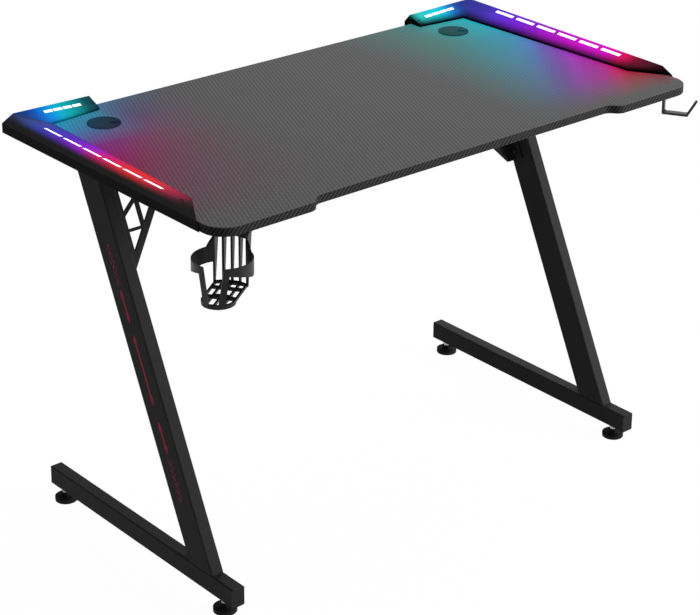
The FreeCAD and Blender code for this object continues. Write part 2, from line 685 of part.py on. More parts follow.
def grommet_cover(side):
    """The turning cover of a grommet, with lugs that keep it in the sleeve and a mouth for the cables."""
    disc_radius = GROMMET_SEAT_RADIUS - COVER_GAP
    half_lug = COVER_LUG_WIDTH / 2
    bore = GROMMET_SLEEVE_RADIUS - GROMMET_SLEEVE_WALL - COVER_GAP
    lug_x = math.sqrt(bore ** 2 - half_lug ** 2)
    solids = [cylinder(disc_radius, ORIGIN, Z_AXIS, GROMMET_SEAT_DEPTH)]
    for turn in COVER_LUG_TURNS:
        lug = box(lug_x - COVER_LUG_WALL, lug_x, -half_lug, half_lug, -COVER_LUG_DROP, 0)
        lug.rotate(ORIGIN, Z_AXIS, turn)
        solids.append(lug)
    half = CABLE_MOUTH_WIDTH / 2
    inner_x = disc_radius - CABLE_MOUTH_DEPTH
    slot = box(inner_x, disc_radius + OVERRUN, -half, half, -OVERRUN, OVERRUN)
    end = cylinder(half, V(inner_x, 0, -OVERRUN), Z_AXIS, 2 * OVERRUN)
    cover = fused(solids).cut(fused([slot, end]))
    cover.rotate(ORIGIN, Z_AXIS, COVER_TURN_DEGREES)
    seat = cover_seat()
    cover.translate(V(side * seat.x, seat.y, seat.z))
    return cover


def housing_planes(inset):
    """The planes of the right light housing, each moved inwards by the inset.

    Each is a point on the plane and the normal that points out of the housing.
    """
    back_x = BOARD_SIDE_X - LONG_ARM_WIDTH_BACK
    front_x = BOARD_SIDE_X - LONG_ARM_WIDTH_FRONT
    lip_start = V(back_x, HOUSING_BACK_Y, LIP_Z)
    lip_run = V(front_x, HOUSING_NOSE_Y, LIP_Z) - lip_start
    slope_rise = V(RIDGE_X, HOUSING_BACK_Y, RIDGE_Z) - lip_start
    short_start = V(BOARD_SIDE_X, BOARD_BACK_Y - SHORT_ARM_WIDTH_SIDE, LIP_Z)
    short_run = V(SHORT_END_X, SHORT_END_Y, LIP_Z) - short_start
    short_rise = V(BOARD_SIDE_X, RIDGE_Y, RIDGE_Z) - short_start
    nose = math.radians(NOSE_CUT_DEGREES)
    tilt = math.radians(NOSE_TILT_DEGREES)
    flat = math.cos(tilt)
    drop = RIDGE_Z - CREASE_Z
    planes = {
        "side": (V(HOUSING_SIDE_X, 0, 0), X_AXIS),
        "side_slope": (V(HOUSING_SIDE_X, 0, CREASE_Z), V(drop, 0, HOUSING_SIDE_X - RIDGE_X)),
        "back": (V(0, HOUSING_BACK_Y, 0), Y_AXIS),
        "back_slope": (V(0, HOUSING_BACK_Y, CREASE_Z), V(0, drop, HOUSING_BACK_Y - RIDGE_Y)),
        "long_slope": (lip_start, lip_run.cross(slope_rise)),
        "long_side": (lip_start, lip_run.cross(Z_AXIS)),
        "short_slope": (short_start, short_rise.cross(short_run)),
        "short_side": (short_start, Z_AXIS.cross(short_run)),
        "short_end": (V(SHORT_END_X, 0, 0), -X_AXIS),
        "nose": (V(HOUSING_SIDE_X, HOUSING_NOSE_Y, DESK_HEIGHT),
                 V(-math.sin(nose) * flat, -math.cos(nose) * flat, math.sin(tilt))),
    }
    moved = {}
    for name, (point, normal) in planes.items():
        unit = V(normal).normalize()
        moved[name] = (point - unit * inset, unit)
    return moved


def housing_arms(inset):
    """The long and the short arm of the right housing above the board, mitred into one roof."""
    planes = housing_planes(inset)
    shared = ["side", "side_slope", "back", "back_slope"]
    floor = half_space(V(0, 0, DESK_HEIGHT), -Z_AXIS)
    long_arm = common([half_space(*planes[n]) for n in shared + ["long_slope", "long_side", "nose"]])
    short_arm = common([half_space(*planes[n]) for n in shared + ["short_slope", "short_side", "short_end"]])
    return fused([long_arm.common(floor), short_arm.common(floor)])


def housing_skirt():
    """The walls of the right housing that hang over the board's side and back edges."""
    side = box(BOARD_SIDE_X, HOUSING_SIDE_X, HOUSING_NOSE_Y - OVERRUN, HOUSING_BACK_Y, BOARD_UNDER, DESK_HEIGHT)
    side = side.common(half_space(*housing_planes(0)["nose"]))
    inner = HOUSING_BACK_Y - HOUSING_WALL
    back = box(SHORT_END_X, HOUSING_SIDE_X, inner, HOUSING_BACK_Y, BOARD_UNDER, DESK_HEIGHT)
    end_x = SHORT_END_X + HOUSING_WALL
    end = box(SHORT_END_X, end_x, BOARD_BACK_Y, HOUSING_BACK_Y, BOARD_UNDER, DESK_HEIGHT)
    return fused([side, back, end])


def plane_frame(point, along, normal):
    """A frame on a plane: u along, v across, w out of the plane."""
    u = V(along).normalize()
    w = V(normal).normalize()
    return FreeCAD.Placement(point, FreeCAD.Rotation(u, w.cross(u), w, "ZXY"))


def window_rows():
    """Each row of windows: its frame on the slope, count, length, width and pitch."""
    planes = housing_planes(0)
    rows = {}
    point, normal = planes["long_slope"]
    x = BOARD_SIDE_X - LONG_WINDOW_INSET
    y = BOARD_BACK_Y - LONG_ROW_FROM_BACK
    middle = V(x, y, point.z - (normal.x * (x - point.x) + normal.y * (y - point.y)) / normal.z)
    frame = plane_frame(middle, normal.cross(X_AXIS), normal)
    rows["long"] = (frame, LONG_WINDOW_COUNT, LONG_WINDOW_LENGTH, LONG_WINDOW_WIDTH, LONG_WINDOW_PITCH)
    point, normal = planes["short_slope"]
    x = BOARD_SIDE_X - SHORT_ROW_FROM_SIDE
    y = BOARD_BACK_Y - SHORT_WINDOW_INSET
    middle = V(x, y, point.z - (normal.x * (x - point.x) + normal.y * (y - point.y)) / normal.z)
    frame = plane_frame(middle, Y_AXIS.cross(normal), normal)
    rows["short"] = (frame, SHORT_WINDOW_COUNT, SHORT_WINDOW_LENGTH, SHORT_WINDOW_WIDTH, SHORT_WINDOW_PITCH)
    return rows


def slab(frame, u0, u1, v0, v1, w0, w1):
    """A block in a plane's own frame."""
    block = box(u0, u1, v0, v1, w0, w1)
    block.Placement = frame.multiply(block.Placement)
    return block


def row_starts(count, length, pitch):
    """Where each copy in a centred row starts."""
    return [(k - (count - 1) / 2) * pitch - length / 2 for k in range(count)]


def light_housing():
    """The right light housing: a hollow mitred roof with windows, bosses and a back skirt."""
    roof = housing_arms(0)
    shell = roof.cut(housing_arms(HOUSING_WALL))
    bosses = []
    holes = []
    for x, y in HOUSING_SCREWS:
        foot = V(x, y, DESK_HEIGHT)
        block = box(x - BOSS_HALF, x + BOSS_HALF, y - BOSS_HALF, y + BOSS_HALF, DESK_HEIGHT, RIDGE_Z)
        bosses.append(block.common(roof))
        holes.append(small_round(SCREW_HOLE_RADIUS, foot, Z_AXIS, RIDGE_HEIGHT))
        seat = V(x, y, DESK_HEIGHT + BOSS_SEAT)
        holes.append(small_round(SCREW_HEAD_RADIUS + SCREW_CLEARANCE, seat, Z_AXIS, RIDGE_HEIGHT))
    for frame, count, length, width, pitch in window_rows().values():
        for u in row_starts(count, length, pitch):
            holes.append(slab(frame, u, u + length, -width / 2, width / 2, -2 * HOUSING_WALL, HOUSING_WALL))
    holes.append(inlet_hole())
    return fused([shell, housing_skirt()] + bosses).cut(holes)


def inlet_middle():
    """The middle of the power inlet's mouth, on the back face of the right housing."""
    return V(BOARD_SIDE_X - INLET_FROM_SIDE, HOUSING_BACK_Y, DESK_HEIGHT - INLET_BELOW_TOP)


def inlet_block(grow, depth):
    """The inlet's flat slot, grown on all sides, built along +Z."""
    x = INLET_WIDTH / 2 + grow
    y = INLET_HEIGHT / 2 + grow
    return cut_corner_block(x, y, 0, depth, y / 2)


def inlet_hole():
    """The inlet's hole in the back wall."""
    return lay_along_y(inlet_block(SCREW_CLEARANCE, HOUSING_BACK_OVERHANG / 2), inlet_middle())


def power_inlet():
    """The inlet's metal shell with its contact tongue."""
    shell = inlet_block(0, INLET_DEPTH)
    mouth = inlet_block(-INLET_SHELL, INLET_DEPTH - INLET_SHELL)
    tongue_width = INLET_WIDTH / 2 + INLET_TONGUE
    tongue = box(-tongue_width / 2, tongue_width / 2, -INLET_TONGUE / 2, INLET_TONGUE / 2,
                 INLET_DEPTH / 4, INLET_DEPTH - INLET_SHELL / 2)
    return lay_along_y(fused([shell.cut(mouth), tongue]), inlet_middle())


def row_span(count, length, pitch):
    """Half the length of a centred row, end to end."""
    return ((count - 1) * pitch + length) / 2


def window_lens(row):
    """A light guide behind a row of windows, with a pad that fills each window flush."""
    frame, count, length, width, pitch = window_rows()[row]
    half_u = row_span(count, length, pitch) + LENS_MARGIN
    half_v = width / 2 + LENS_MARGIN
    solids = [slab(frame, -half_u, half_u, -half_v, half_v, -HOUSING_WALL - LENS_PLATE, -HOUSING_WALL)]
    half_pad = width / 2 - LENS_CLEARANCE
    for u in row_starts(count, length, pitch):
        start = u + LENS_CLEARANCE
        end = u + length - LENS_CLEARANCE
        solids.append(slab(frame, start, end, -half_pad, half_pad, -HOUSING_WALL, 0))
    return fused(solids)


def led_board(row):
    """The lamp strip behind a light guide: a narrow board with a lamp chip under each window."""
    frame, count, length, width, pitch = window_rows()[row]
    half_u = row_span(count, length, pitch)
    half_v = LED_CHIP / 2 + LED_BOARD_MARGIN
    chip_top = -HOUSING_WALL - LENS_PLATE - LED_GAP
    board_top = chip_top - LED_CHIP_HEIGHT
    solids = [slab(frame, -half_u, half_u, -half_v, half_v, board_top - LED_BOARD, board_top)]
    half_chip = LED_CHIP / 2
    for u in row_starts(count, 0, pitch):
        solids.append(slab(frame, u - half_chip, u + half_chip, -half_chip, half_chip, board_top, chip_top))
    return fused(solids)


def housing_screws():
    """The screws that hold the right housing on the board."""
    screws = []
    for x, y in HOUSING_SCREWS:
        screws.append(screw(V(x, y, DESK_HEIGHT + BOSS_SEAT), -Z_AXIS, BOSS_SEAT))
    return Part.makeCompound(screws)


def cup_place(shape):
    """Puts a shape of the cup holder, drawn with its back on +X, under the front left corner."""
    shape.rotate(ORIGIN, Z_AXIS, CUP_TURN_DEGREES)
    shape.translate(V(-CUP_X, -CUP_Y, 0))
    return shape


def cup_screw_places():
    """Where the cup holder's flange is screwed to the board."""
    x = CUP_FLANGE_END - CUP_SCREW_INSET
    turn = FreeCAD.Rotation(Z_AXIS, CUP_TURN_DEGREES)
    places = []
    for y in (-CUP_SCREW_SPREAD / 2, CUP_SCREW_SPREAD / 2):
        places.append(turn.multVec(V(x, y, 0)) + V(-CUP_X, -CUP_Y, BOARD_UNDER))
    return places


def cup_wall():
    """The round wall cut to its side view: a tall back, two arms that taper forwards, no front."""
    rim = BOARD_UNDER - CUP_DROP
    wall = cylinder(CUP_RADIUS, V(0, 0, rim), Z_AXIS, CUP_DROP)
    wall = wall.cut(cylinder(CUP_RADIUS - CUP_WALL, V(0, 0, rim), Z_AXIS, CUP_DROP))
    far = CUP_RADIUS + OVERRUN
    back_x = CUP_RADIUS * math.cos(math.radians(CUP_BACK_HALF_DEGREES))
    arm_top = BOARD_UNDER - CUP_ARM_DROP
    arm_low = arm_top - CUP_ARM_HEIGHT
    fairing_x = back_x - CUP_FAIRING / 2
    tip_low = arm_top - CUP_ARM_TIP_HEIGHT
    tip_x = -CUP_RADIUS * math.cos(math.radians(CUP_MOUTH_HALF_DEGREES))
    side_view = [
        V(far, -far, BOARD_UNDER), V(back_x, -far, BOARD_UNDER), V(back_x, -far, arm_top + CUP_FAIRING),
        V(fairing_x, -far, arm_top), V(-far, -far, arm_top), V(-far, -far, tip_low), V(tip_x, -far, tip_low),
        V(0, -far, arm_low), V(back_x, -far, arm_low), V(back_x, -far, rim), V(far, -far, rim),
    ]
    wall = wall.common(prism(side_view, V(0, 2 * far, 0)))
    half_mouth = CUP_RADIUS * math.sin(math.radians(CUP_MOUTH_HALF_DEGREES)) - CUP_STRUT_WIDTH / 2
    mouth = box(-far, 0, -half_mouth, half_mouth, rim, BOARD_UNDER)
    slots = [mouth]
    for y in cup_slot_ys():
        slots.append(box(0, far, y[0], y[1], rim + CUP_RAIL, CUP_UNDER - CUP_RAIL))
    return wall.cut(slots)


def cup_slat_ys():
    """The middles of the back's upright slats."""
    half = CUP_RADIUS * math.sin(math.radians(CUP_BACK_HALF_DEGREES)) - CUP_SLAT_WIDTH / 2
    step = 2 * half / (CUP_SLAT_COUNT - 1)
    return [k * step - half for k in range(CUP_SLAT_COUNT)]


def cup_slot_ys():
    """The open strips between the slats."""
    ys = cup_slat_ys()
    half = CUP_SLAT_WIDTH / 2
    return [(low + half, high - half) for low, high in zip(ys, ys[1:])]


def cup_ribs():
    """A tapered rib behind each slat, deepest at the flange."""
    rim = BOARD_UNDER - CUP_DROP
    ribs = []
    for y in cup_slat_ys():
        wall_x = math.sqrt(CUP_RADIUS ** 2 - y ** 2) - CUP_WALL / 2
        low_x = wall_x + CUP_WALL
        side = [
            V(wall_x, 0, CUP_UNDER), V(CUP_RADIUS + CUP_RIB_DEPTH, 0, CUP_UNDER),
            V(low_x, 0, rim), V(wall_x, 0, rim),
        ]
        rib = prism(side, V(0, CUP_SLAT_WIDTH, 0))
        rib.translate(V(0, y - CUP_SLAT_WIDTH / 2, 0))
        ribs.append(rib)
    return ribs


def cup_flange():
    """The flat plate that lies under the board."""
    back_x = CUP_RADIUS * math.cos(math.radians(CUP_BACK_HALF_DEGREES))
    half = CUP_FLANGE_HALF_WIDTH
    plate = box(back_x, CUP_FLANGE_END, -half, half, CUP_UNDER, BOARD_UNDER)
    corners = [e for e in plate.Edges if e.BoundBox.XMin > back_x + OVERRUN and e.BoundBox.ZLength > 0]
    corners = [e for e in corners if e.BoundBox.YLength < CUP_FLANGE]
    plate = plate.makeFillet(CUP_FLANGE_ROUND, corners)
    inner = cylinder(CUP_RADIUS - CUP_WALL, V(0, 0, CUP_UNDER), Z_AXIS, CUP_FLANGE)
    return plate.cut(inner)


def cup_floor_block(inset, z0, z1):
    """The floor's outline drawn in by an inset: a strip from the back wall to a round front end."""
    half = CUP_FLOOR_RADIUS - inset
    strip = box(-CUP_FLOOR_SHIFT, CUP_RADIUS, -half, half, z0, z1)
    back = cylinder(CUP_RADIUS - inset, V(0, 0, z0), Z_AXIS, z1 - z0)
    front = cylinder(half, V(-CUP_FLOOR_SHIFT, 0, z0), Z_AXIS, z1 - z0)
    return fused([strip.common(back), front])


def cup_floor():
    """The grid floor, with bars in line with the slats and a lip around its front end."""
    rim = BOARD_UNDER - CUP_DROP
    top = rim + CUP_FLOOR_THICKNESS
    clear = cup_floor_block(CUP_FLOOR_BAND, rim, top)
    back_x = CUP_RADIUS - CUP_WALL
    length = back_x + CUP_FLOOR_SHIFT + CUP_FLOOR_RADIUS
    openings = []
    for low, high in cup_slot_ys():
        for near, far in CUP_FLOOR_ROW_SHARES:
            block = box(back_x - far * length, back_x - near * length, low, high, rim, top)
            openings.append(block.common(clear))
    plate = cup_floor_block(0, rim, top).cut(openings)
    low = rim - CUP_FLOOR_LIP
    middle = V(-CUP_FLOOR_SHIFT, 0, low)
    lip = cylinder(CUP_FLOOR_RADIUS, middle, Z_AXIS, CUP_FLOOR_LIP)
    lip = lip.cut(cylinder(CUP_FLOOR_RADIUS - CUP_WALL, middle, Z_AXIS, CUP_FLOOR_LIP))
    return [plate, lip]


def cup_strut(side):
    """A front strut from the end of an arm down to the floor's lip."""
    angle = math.radians(180 - side * CUP_MOUTH_HALF_DEGREES)
    out = V(math.cos(angle), math.sin(angle), 0)
    across = V(-math.sin(angle), math.cos(angle), 0) * (CUP_STRUT_WIDTH / 2)
    reach = math.sqrt(CUP_RADIUS ** 2 - (CUP_STRUT_WIDTH / 2) ** 2)
    outer = out * reach + Z_AXIS * (BOARD_UNDER - CUP_ARM_DROP)
    inner = outer - out * CUP_WALL
    low = BOARD_UNDER - CUP_DROP - CUP_FLOOR_LIP
    foot = out * CUP_FLOOR_RADIUS + V(-CUP_FLOOR_SHIFT, 0, low)
    return prism([outer - across, outer + across, inner + across, inner - across], foot - outer)


def cup_holder():
    """The moulded cup holder: flange, slatted back with ribs, arms, struts and grid floor."""
    pieces = [cup_wall(), cup_flange(), cup_strut(1), cup_strut(-1)] + cup_ribs() + cup_floor()
    holder = cup_place(fused(pieces))
    return holder.cut([screw_hole(place, -Z_AXIS, CUP_FLANGE) for place in cup_screw_places()])


def cup_holder_screws():
    """The screws through the cup holder's flange."""
    screws = []
    for place in cup_screw_places():
        screws.append(screw(place - Z_AXIS * CUP_FLANGE, Z_AXIS, CUP_FLANGE))
    return Part.makeCompound(screws)


def hook_turn():
    """The hook's direction: out of the front right corner."""
    return FreeCAD.Placement(V(HOOK_X, -HOOK_Y, HOOK_MIDDLE), FreeCAD.Rotation(Z_AXIS, -HOOK_TURN_DEGREES))


def hook_screw_places():
    """Where the hook's base is screwed to the board, on the board's underside."""
    places = []
    for share in HOOK_SCREW_SHARES:
        places.append(hook_turn().multVec(V(-HOOK_BASE * share, 0, HOOK_THICKNESS / 2)))
    return places


def strap_outline(path, thickness):
    """The two sides of a strap along a bent path in the XZ plane, mitred at each bend."""
    sides = ([], [])
    for k, point in enumerate(path):
        before = (point - path[k - 1]).normalize() if k > 0 else None
        after = (path[k + 1] - point).normalize() if k + 1 < len(path) else None
        normals = [d.cross(Y_AXIS) for d in (before, after) if d is not None]
        mitre = sum(normals, V(0, 0, 0)).normalize()
        reach = thickness / 2 / mitre.dot(normals[0])
        sides[0].append(point + mitre * reach)
        sides[1].append(point - mitre * reach)
    return sides[0] + sides[1][::-1]


def headphone_hook():
    """The bent strap: base under the board, drop, run out of the corner and upturned tip."""
    path = [
        V(-HOOK_BASE, 0, 0), V(0, 0, 0), V(0, 0, -HOOK_DROP), V(HOOK_RUN, 0, -HOOK_DROP),
        V(HOOK_RUN + HOOK_TIP_RUN, 0, HOOK_TIP_RISE - HOOK_DROP),
    ]
    strap = prism(strap_outline(path, HOOK_THICKNESS), V(0, HOOK_WIDTH, 0))
    strap.translate(V(0, -HOOK_WIDTH / 2, 0))
    bends = [e for e in strap.Edges if e.BoundBox.YLength > HOOK_WIDTH / 2]
    bends = [e for e in bends if min((e.CenterOfMass - p).Length for p in path[1:-1]) < HOOK_THICKNESS]
    strap = strap.makeFillet(HOOK_BEND, bends)
    tip = path[-1]
    ends = [e for e in strap.Edges if e.BoundBox.YLength < HOOK_WIDTH / 2]
    ends = [e for e in ends if (e.CenterOfMass - tip).Length < HOOK_WIDTH / 2 + HOOK_THICKNESS / 8]
    strap = strap.makeFillet(HOOK_TIP_ROUND, ends)
    strap.Placement = hook_turn().multiply(strap.Placement)
    return strap.cut([screw_hole(place, -Z_AXIS, HOOK_THICKNESS) for place in hook_screw_places()])


def hook_screws():
    """The screws through the hook's base."""
    screws = []
    for place in hook_screw_places():
        screws.append(screw(place - Z_AXIS * HOOK_THICKNESS, Z_AXIS, HOOK_THICKNESS))
    return Part.makeCompound(screws)


def side_pieces():
    """The pieces that stand on both sides of the desk, built on the right."""
    pieces = {
        "base_bar": base_bar(),
        "upright": upright(),
        "top_bar": top_bar(),
        "gusset": gusset(),
        "desktop_screws": desktop_screws(),
        "light_housing": light_housing(),
        "housing_screws": housing_screws(),
        "power_inlet": power_inlet(),
    }
    pieces.update(tube_caps())
    for row in ("long", "short"):
        pieces[row + "_window_lens"] = window_lens(row)
        pieces[row + "_led_board"] = led_board(row)
    for place, y in FOOT_PLACES.items():
        pieces[place + "_foot_pad"] = foot_pad(y)
        pieces[place + "_foot_stud"] = foot_stud(y)
    return pieces


def desk():
    """Every piece of the desk by its node name."""
    pieces = {
        "desktop": desktop(),
        "crossbeam": crossbeam(),
        "beam_bolts": hexagon_bolts(bolt_places(), BEAM_PLATE_THICKNESS),
        "gusset_bolts": hexagon_bolts(gusset_bolt_places(), GUSSET_FLANGE_THICKNESS),
        "foot_rivet_nuts": foot_nuts(),
        "cup_holder": cup_holder(),
        "cup_holder_screws": cup_holder_screws(),
        "grommet_rings": grommet_rings(),
        "right_grommet_cover": grommet_cover(1),
        "left_grommet_cover": grommet_cover(-1),
        "headphone_hook": headphone_hook(),
        "hook_screws": hook_screws(),
    }
    for name, piece in side_pieces().items():
        pieces["right_" + name] = piece
        pieces["left_" + name] = mirrored(piece)
    for piece in pieces.values():
        piece.translate(-OUTLINE_MIDDLE)
    return pieces


os.makedirs("parts", exist_ok=True)
for node, shape in desk().items():
    shape.exportStep("parts/" + node + ".step")
    print(node, len(shape.Solids), shape.isValid(), round(shape.Volume))
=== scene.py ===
import json
import math

import bmesh
import bpy
from mathutils import Matrix, Vector

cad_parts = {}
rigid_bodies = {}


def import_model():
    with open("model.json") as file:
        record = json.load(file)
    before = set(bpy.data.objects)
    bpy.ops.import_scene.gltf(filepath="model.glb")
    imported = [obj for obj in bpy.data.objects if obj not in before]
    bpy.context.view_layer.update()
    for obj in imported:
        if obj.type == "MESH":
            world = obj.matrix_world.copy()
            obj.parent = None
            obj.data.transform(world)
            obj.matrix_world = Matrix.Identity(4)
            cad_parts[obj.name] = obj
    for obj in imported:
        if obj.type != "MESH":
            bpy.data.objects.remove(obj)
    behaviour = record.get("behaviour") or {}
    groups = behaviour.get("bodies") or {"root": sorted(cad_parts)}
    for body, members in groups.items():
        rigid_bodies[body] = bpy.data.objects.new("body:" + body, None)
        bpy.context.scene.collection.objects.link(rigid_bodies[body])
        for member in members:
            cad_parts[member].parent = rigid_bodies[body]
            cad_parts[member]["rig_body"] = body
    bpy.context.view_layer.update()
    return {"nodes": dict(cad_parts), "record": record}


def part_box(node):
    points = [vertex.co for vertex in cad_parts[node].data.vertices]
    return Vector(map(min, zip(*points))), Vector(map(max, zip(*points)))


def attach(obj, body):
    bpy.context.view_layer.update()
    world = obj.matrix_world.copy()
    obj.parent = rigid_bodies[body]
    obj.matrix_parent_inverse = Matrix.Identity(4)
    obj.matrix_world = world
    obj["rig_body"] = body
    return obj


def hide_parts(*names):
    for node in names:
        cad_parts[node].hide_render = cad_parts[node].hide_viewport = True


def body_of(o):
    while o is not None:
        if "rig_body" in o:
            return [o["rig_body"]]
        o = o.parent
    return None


# Gaming desk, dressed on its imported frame: carbon-look board, powder-coated legs, lit side housings.
# Metres, +X to the sitter's right, +Y to the back, +Z up.

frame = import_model()

MM = 0.001

# Places read from the frame
BOARD_LOW, BOARD_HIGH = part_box("desktop")
BOARD_MIDDLE = (BOARD_LOW + BOARD_HIGH) / 2
BOARD_TOP = BOARD_HIGH.z
RIDGE_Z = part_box("right_light_housing")[1].z
SIDES = {"left": -1, "right": 1}

# Camera that matches the photograph, a 700 by 615 picture
CAMERA_PLACE = Vector((-2.36780, -2.74777, 2.06884))
CAMERA_AZIMUTH_DEGREES = -42.369
CAMERA_ELEVATION_DEGREES = 20.851
CAMERA_ROLL_DEGREES = 1.138
CAMERA_LENS_MM = 111.336
CAMERA_SHIFT = (-0.09586, -0.23503)
CAMERA_SENSOR_MM = 36.0
CAMERA_FAR = 100.0

# Studio light. Each soft box has a place, a size and a power in watts.
FLOOR_SIZE = 40.0
FLOOR_WHITE_SHARE = 0.97
FLOOR_GLOW = 1.012
WORLD_STRENGTH = 0.25
SOFT_BOXES = {
    "top_soft_box": (Vector((0.9, 0.9, 3.2)), (2.4, 2.4), 42.0),
    "back_soft_box": (Vector((2.9, 2.9, 2.2)), (2.2, 1.4), 34.0),
    "front_soft_box": (Vector((2.6, -2.9, 1.5)), (1.6, 2.2), 175.0),
}

# Printed carbon weave: its lines are drawn coarser than a real tow so that they show at this size
WEAVE_PITCH = 6.8 * MM
WEAVE_TURN_DEGREES = -23.0
TOW_LENGTH = 14.0 * MM
TOW_STAGGER = 0.25
TOW_SHARE = 0.2
HALF_PITCH = 0.5
EDGE_WEAVE_PITCH = 6.8 * MM
# A surface counts as a top or bottom face where its normal rises or falls more than this
FACE_RISE = 0.5
# From the middle of the board to the straight front between the recess, which turns in, and the corner
CORNER_REACH = 480 * MM

# Light housings, from the middle and the back of the board
LONG_LIP_X = 490 * MM
SHORT_LIP_Y = 46 * MM
MITRE_RUN = Vector((54, 44)) * MM
MITRE_SOFTNESS = 0.06
SHORT_ARM_SPAN = 200 * MM
# How far a normal points inward, at the least, on an inner slope, and outward on an outer face, which is
# painted lighter
INNER_FACING = 0.02
OUTER_FACING = 0.5

# Painted lamp light on the board, as emission over a base colour darkened toward black, along each long arm,
# from the front (0) on: how far it reaches and how fast it falls, its slant, where it fades out at the front,
# and its colours. The short arms each throw one colour.
BOARD_LIGHT_LENGTH = 720 * MM
BOARD_LIGHT_PEAK = 0.93
SHORT_LIGHT_REACH = 130 * MM
SHORT_LIGHT_SPAN = (340 * MM, 410 * MM)
SHORT_LIGHT_PEAK = 0.7
GROMMET_PAINTED_LIGHT = 0.24
BOARD_LIGHT = {
    "left": {
        "reach": 300 * MM, "fall": 1.7, "slant": -0.3, "fade": (-260 * MM, 60 * MM), "short": "0e9cb6",
        "stops": ((0.278, "741c4c"), (0.417, "7e0f4c"), (0.472, "840e58"), (0.528, "860f66"),
                  (0.583, "7c187e"), (0.639, "62288c"), (0.688, "4a48a0"), (0.729, "3167af"),
                  (0.764, "2083c8")),
    },
    "right": {
        "reach": 310 * MM, "fall": 1.3, "slant": 1.3, "fade": (-275 * MM, -170 * MM), "short": "12b6c4",
        "stops": ((0.139, "a80a32"), (0.194, "c00f62"), (0.25, "ac1890"), (0.306, "a41ea0"),
                  (0.361, "a02cb8"), (0.417, "803eb0"), (0.472, "645cb6"), (0.528, "4a80be"),
                  (0.60, "3494b8"), (0.70, "229cb0"), (0.80, "1e9ca0"), (0.875, "2c9894")),
    },
}

# Lamp colours on the long arms, from the front of the board (0) to its back (1)
LONG_GLOW = {
    "left": ((0.08, "000000"), (0.167, "34121f"), (0.25, "961e3e"), (0.333, "d2283c"), (0.417, "e0282c"),
             (0.50, "d81c40"), (0.583, "c61074"), (0.667, "9014c8"), (0.75, "5923bb"), (0.833, "3c37b4"),
             (0.917, "2c468c"), (0.983, "222c50")),
    "right": ((0.10, "000000"), (0.167, "4a1024"), (0.217, "74082c"), (0.267, "d8085a"), (0.333, "d80abe"),
              (0.417, "d20acc"), (0.50, "c40cc8"), (0.583, "aa10c6"), (0.667, "8818c8"), (0.75, "7020d4"),
              (0.833, "5432cc"), (0.90, "3c30a0"), (0.95, "34349a")),
}
# The same on the short arms, from their inner ends (0) to the side of the board (1)
SHORT_GLOW = {
    "left": ((0.10, "000000"), (0.175, "06404a"), (0.25, "0a5258"), (0.35, "008c90"), (0.45, "00a8b0"),
             (0.55, "00b0d2"), (0.65, "008ce2"), (0.75, "085cc0"), (0.85, "0c3c80")),
    "right": ((0.10, "000000"), (0.175, "107874"), (0.25, "30c8c6"), (0.35, "20cad4"), (0.45, "18cedc"),
              (0.55, "18b8e6"), (0.65, "1c74d0"), (0.75, "22469a"), (0.85, "2c3890")),
}
# Where the glow starts and is full on the inner slopes and the other faces, as shares of the ridge's height
GLOW_RISE = {"left": (-0.1, 0.4), "right": (0.13, 0.62)}
OUTER_GLOW_RISE = (0.35, 1.05)

# Printed stripe on the outer face of each upright. The dashes and rows of chevrons are given by their top
# and bottom heights in millimetres, and a row also by whether it points up.
UPRIGHT_LEAN_DEGREES = 25.6
PRINT_THICKNESS = 0.12 * MM
DASH_HEIGHTS = ((511, 456), (438, 323), (299, 245))
DASH_HALF_WIDTH = 2.4 * MM
DASH_TIP_HALF_WIDTH = 4.6 * MM
DASH_TIP_LENGTH = 9 * MM
CHEVRON_HEIGHTS = ((583, 516, True), (237, 167, False))
CHEVRON_COUNT = 6
CHEVRON_HALF_WIDTH = 5.5 * MM
CHEVRON_RISE = 10 * MM
CHEVRON_THICKNESS = 2.8 * MM

# Fasteners, in millimetres. A thread has a radius, a depth and a pitch, an outline has (radius, along)
# points, and chamfers are given as inward and along for the lower and the upper end of a hexagon.
SCREW_THREAD = (1.9, 0.45, 1.6)
SCREW_POINT = 2.0
SCREW_NECK = 1.0
SCREW_HEAD = ((1.9, -0.5), (1.9, 0), (3.6, 0), (3.6, 1.0), (3.3, 1.7), (2.5, 2.3), (1.7, 2.4), (1.5, 2.3),
              (1.5, 1.1), (0, 0.7))
SCREW_SEAT = 2.4
BOLT_THREAD = (3.0, 0.5, 1.0)
BOLT_POINT = 1.0
BOLT_POINT_RADIUS = 2.2
BOLT_NECK = 0.5
BOLT_NECK_OUTLINE = ((3.0, -0.2), (3.0, 0), (0, 0))
BOLT_FLATS = 10.0
BOLT_CHAMFERS = ((0.4, 0.4), (0.9, 0.7))
BOLT_SEAT = 4.0
STUD_THREAD = (4.0, 0.6, 1.25)
STUD_NECK = 0.6
STUD_POINT = 1.0
STUD_POINT_RADIUS = 3.2
STUD_FLATS = 13.0
STUD_COLLAR_HEIGHT = 9.0
STUD_CHAMFERS = ((0.5, 0.5), (0.5, 0.5))
STUD_SEAT = 17.0
HEXAGON_STEPS = 6
ROUND_STEPS = 24

# Softened edges: the width in millimetres and the steps of each piece
MERGE_DISTANCE = 0.001 * MM
FLAT_DEGREES = 0.5
SMOOTH_DEGREES = 28.0
SIDE_EDGES = {
    "light_housing": (0.6, 2), "gusset": (0.6, 2),
    "upright": (0.3, 1), "base_bar": (0.3, 1), "top_bar": (0.3, 1),
    "front_base_cap": (0.8, 3), "front_top_cap": (0.8, 3),
    "back_base_cap": (0.8, 3), "back_top_cap": (0.8, 3),
    "front_foot_pad": (0.5, 2), "back_foot_pad": (0.5, 2), "grommet_cover": (0.25, 2),
}
SINGLE_EDGES = {
    "grommet_rings": (0.4, 2), "desktop": (0.15, 1), "crossbeam": (0.3, 1), "headphone_hook": (0.5, 2),
    "cup_holder": (0.3, 2),
}


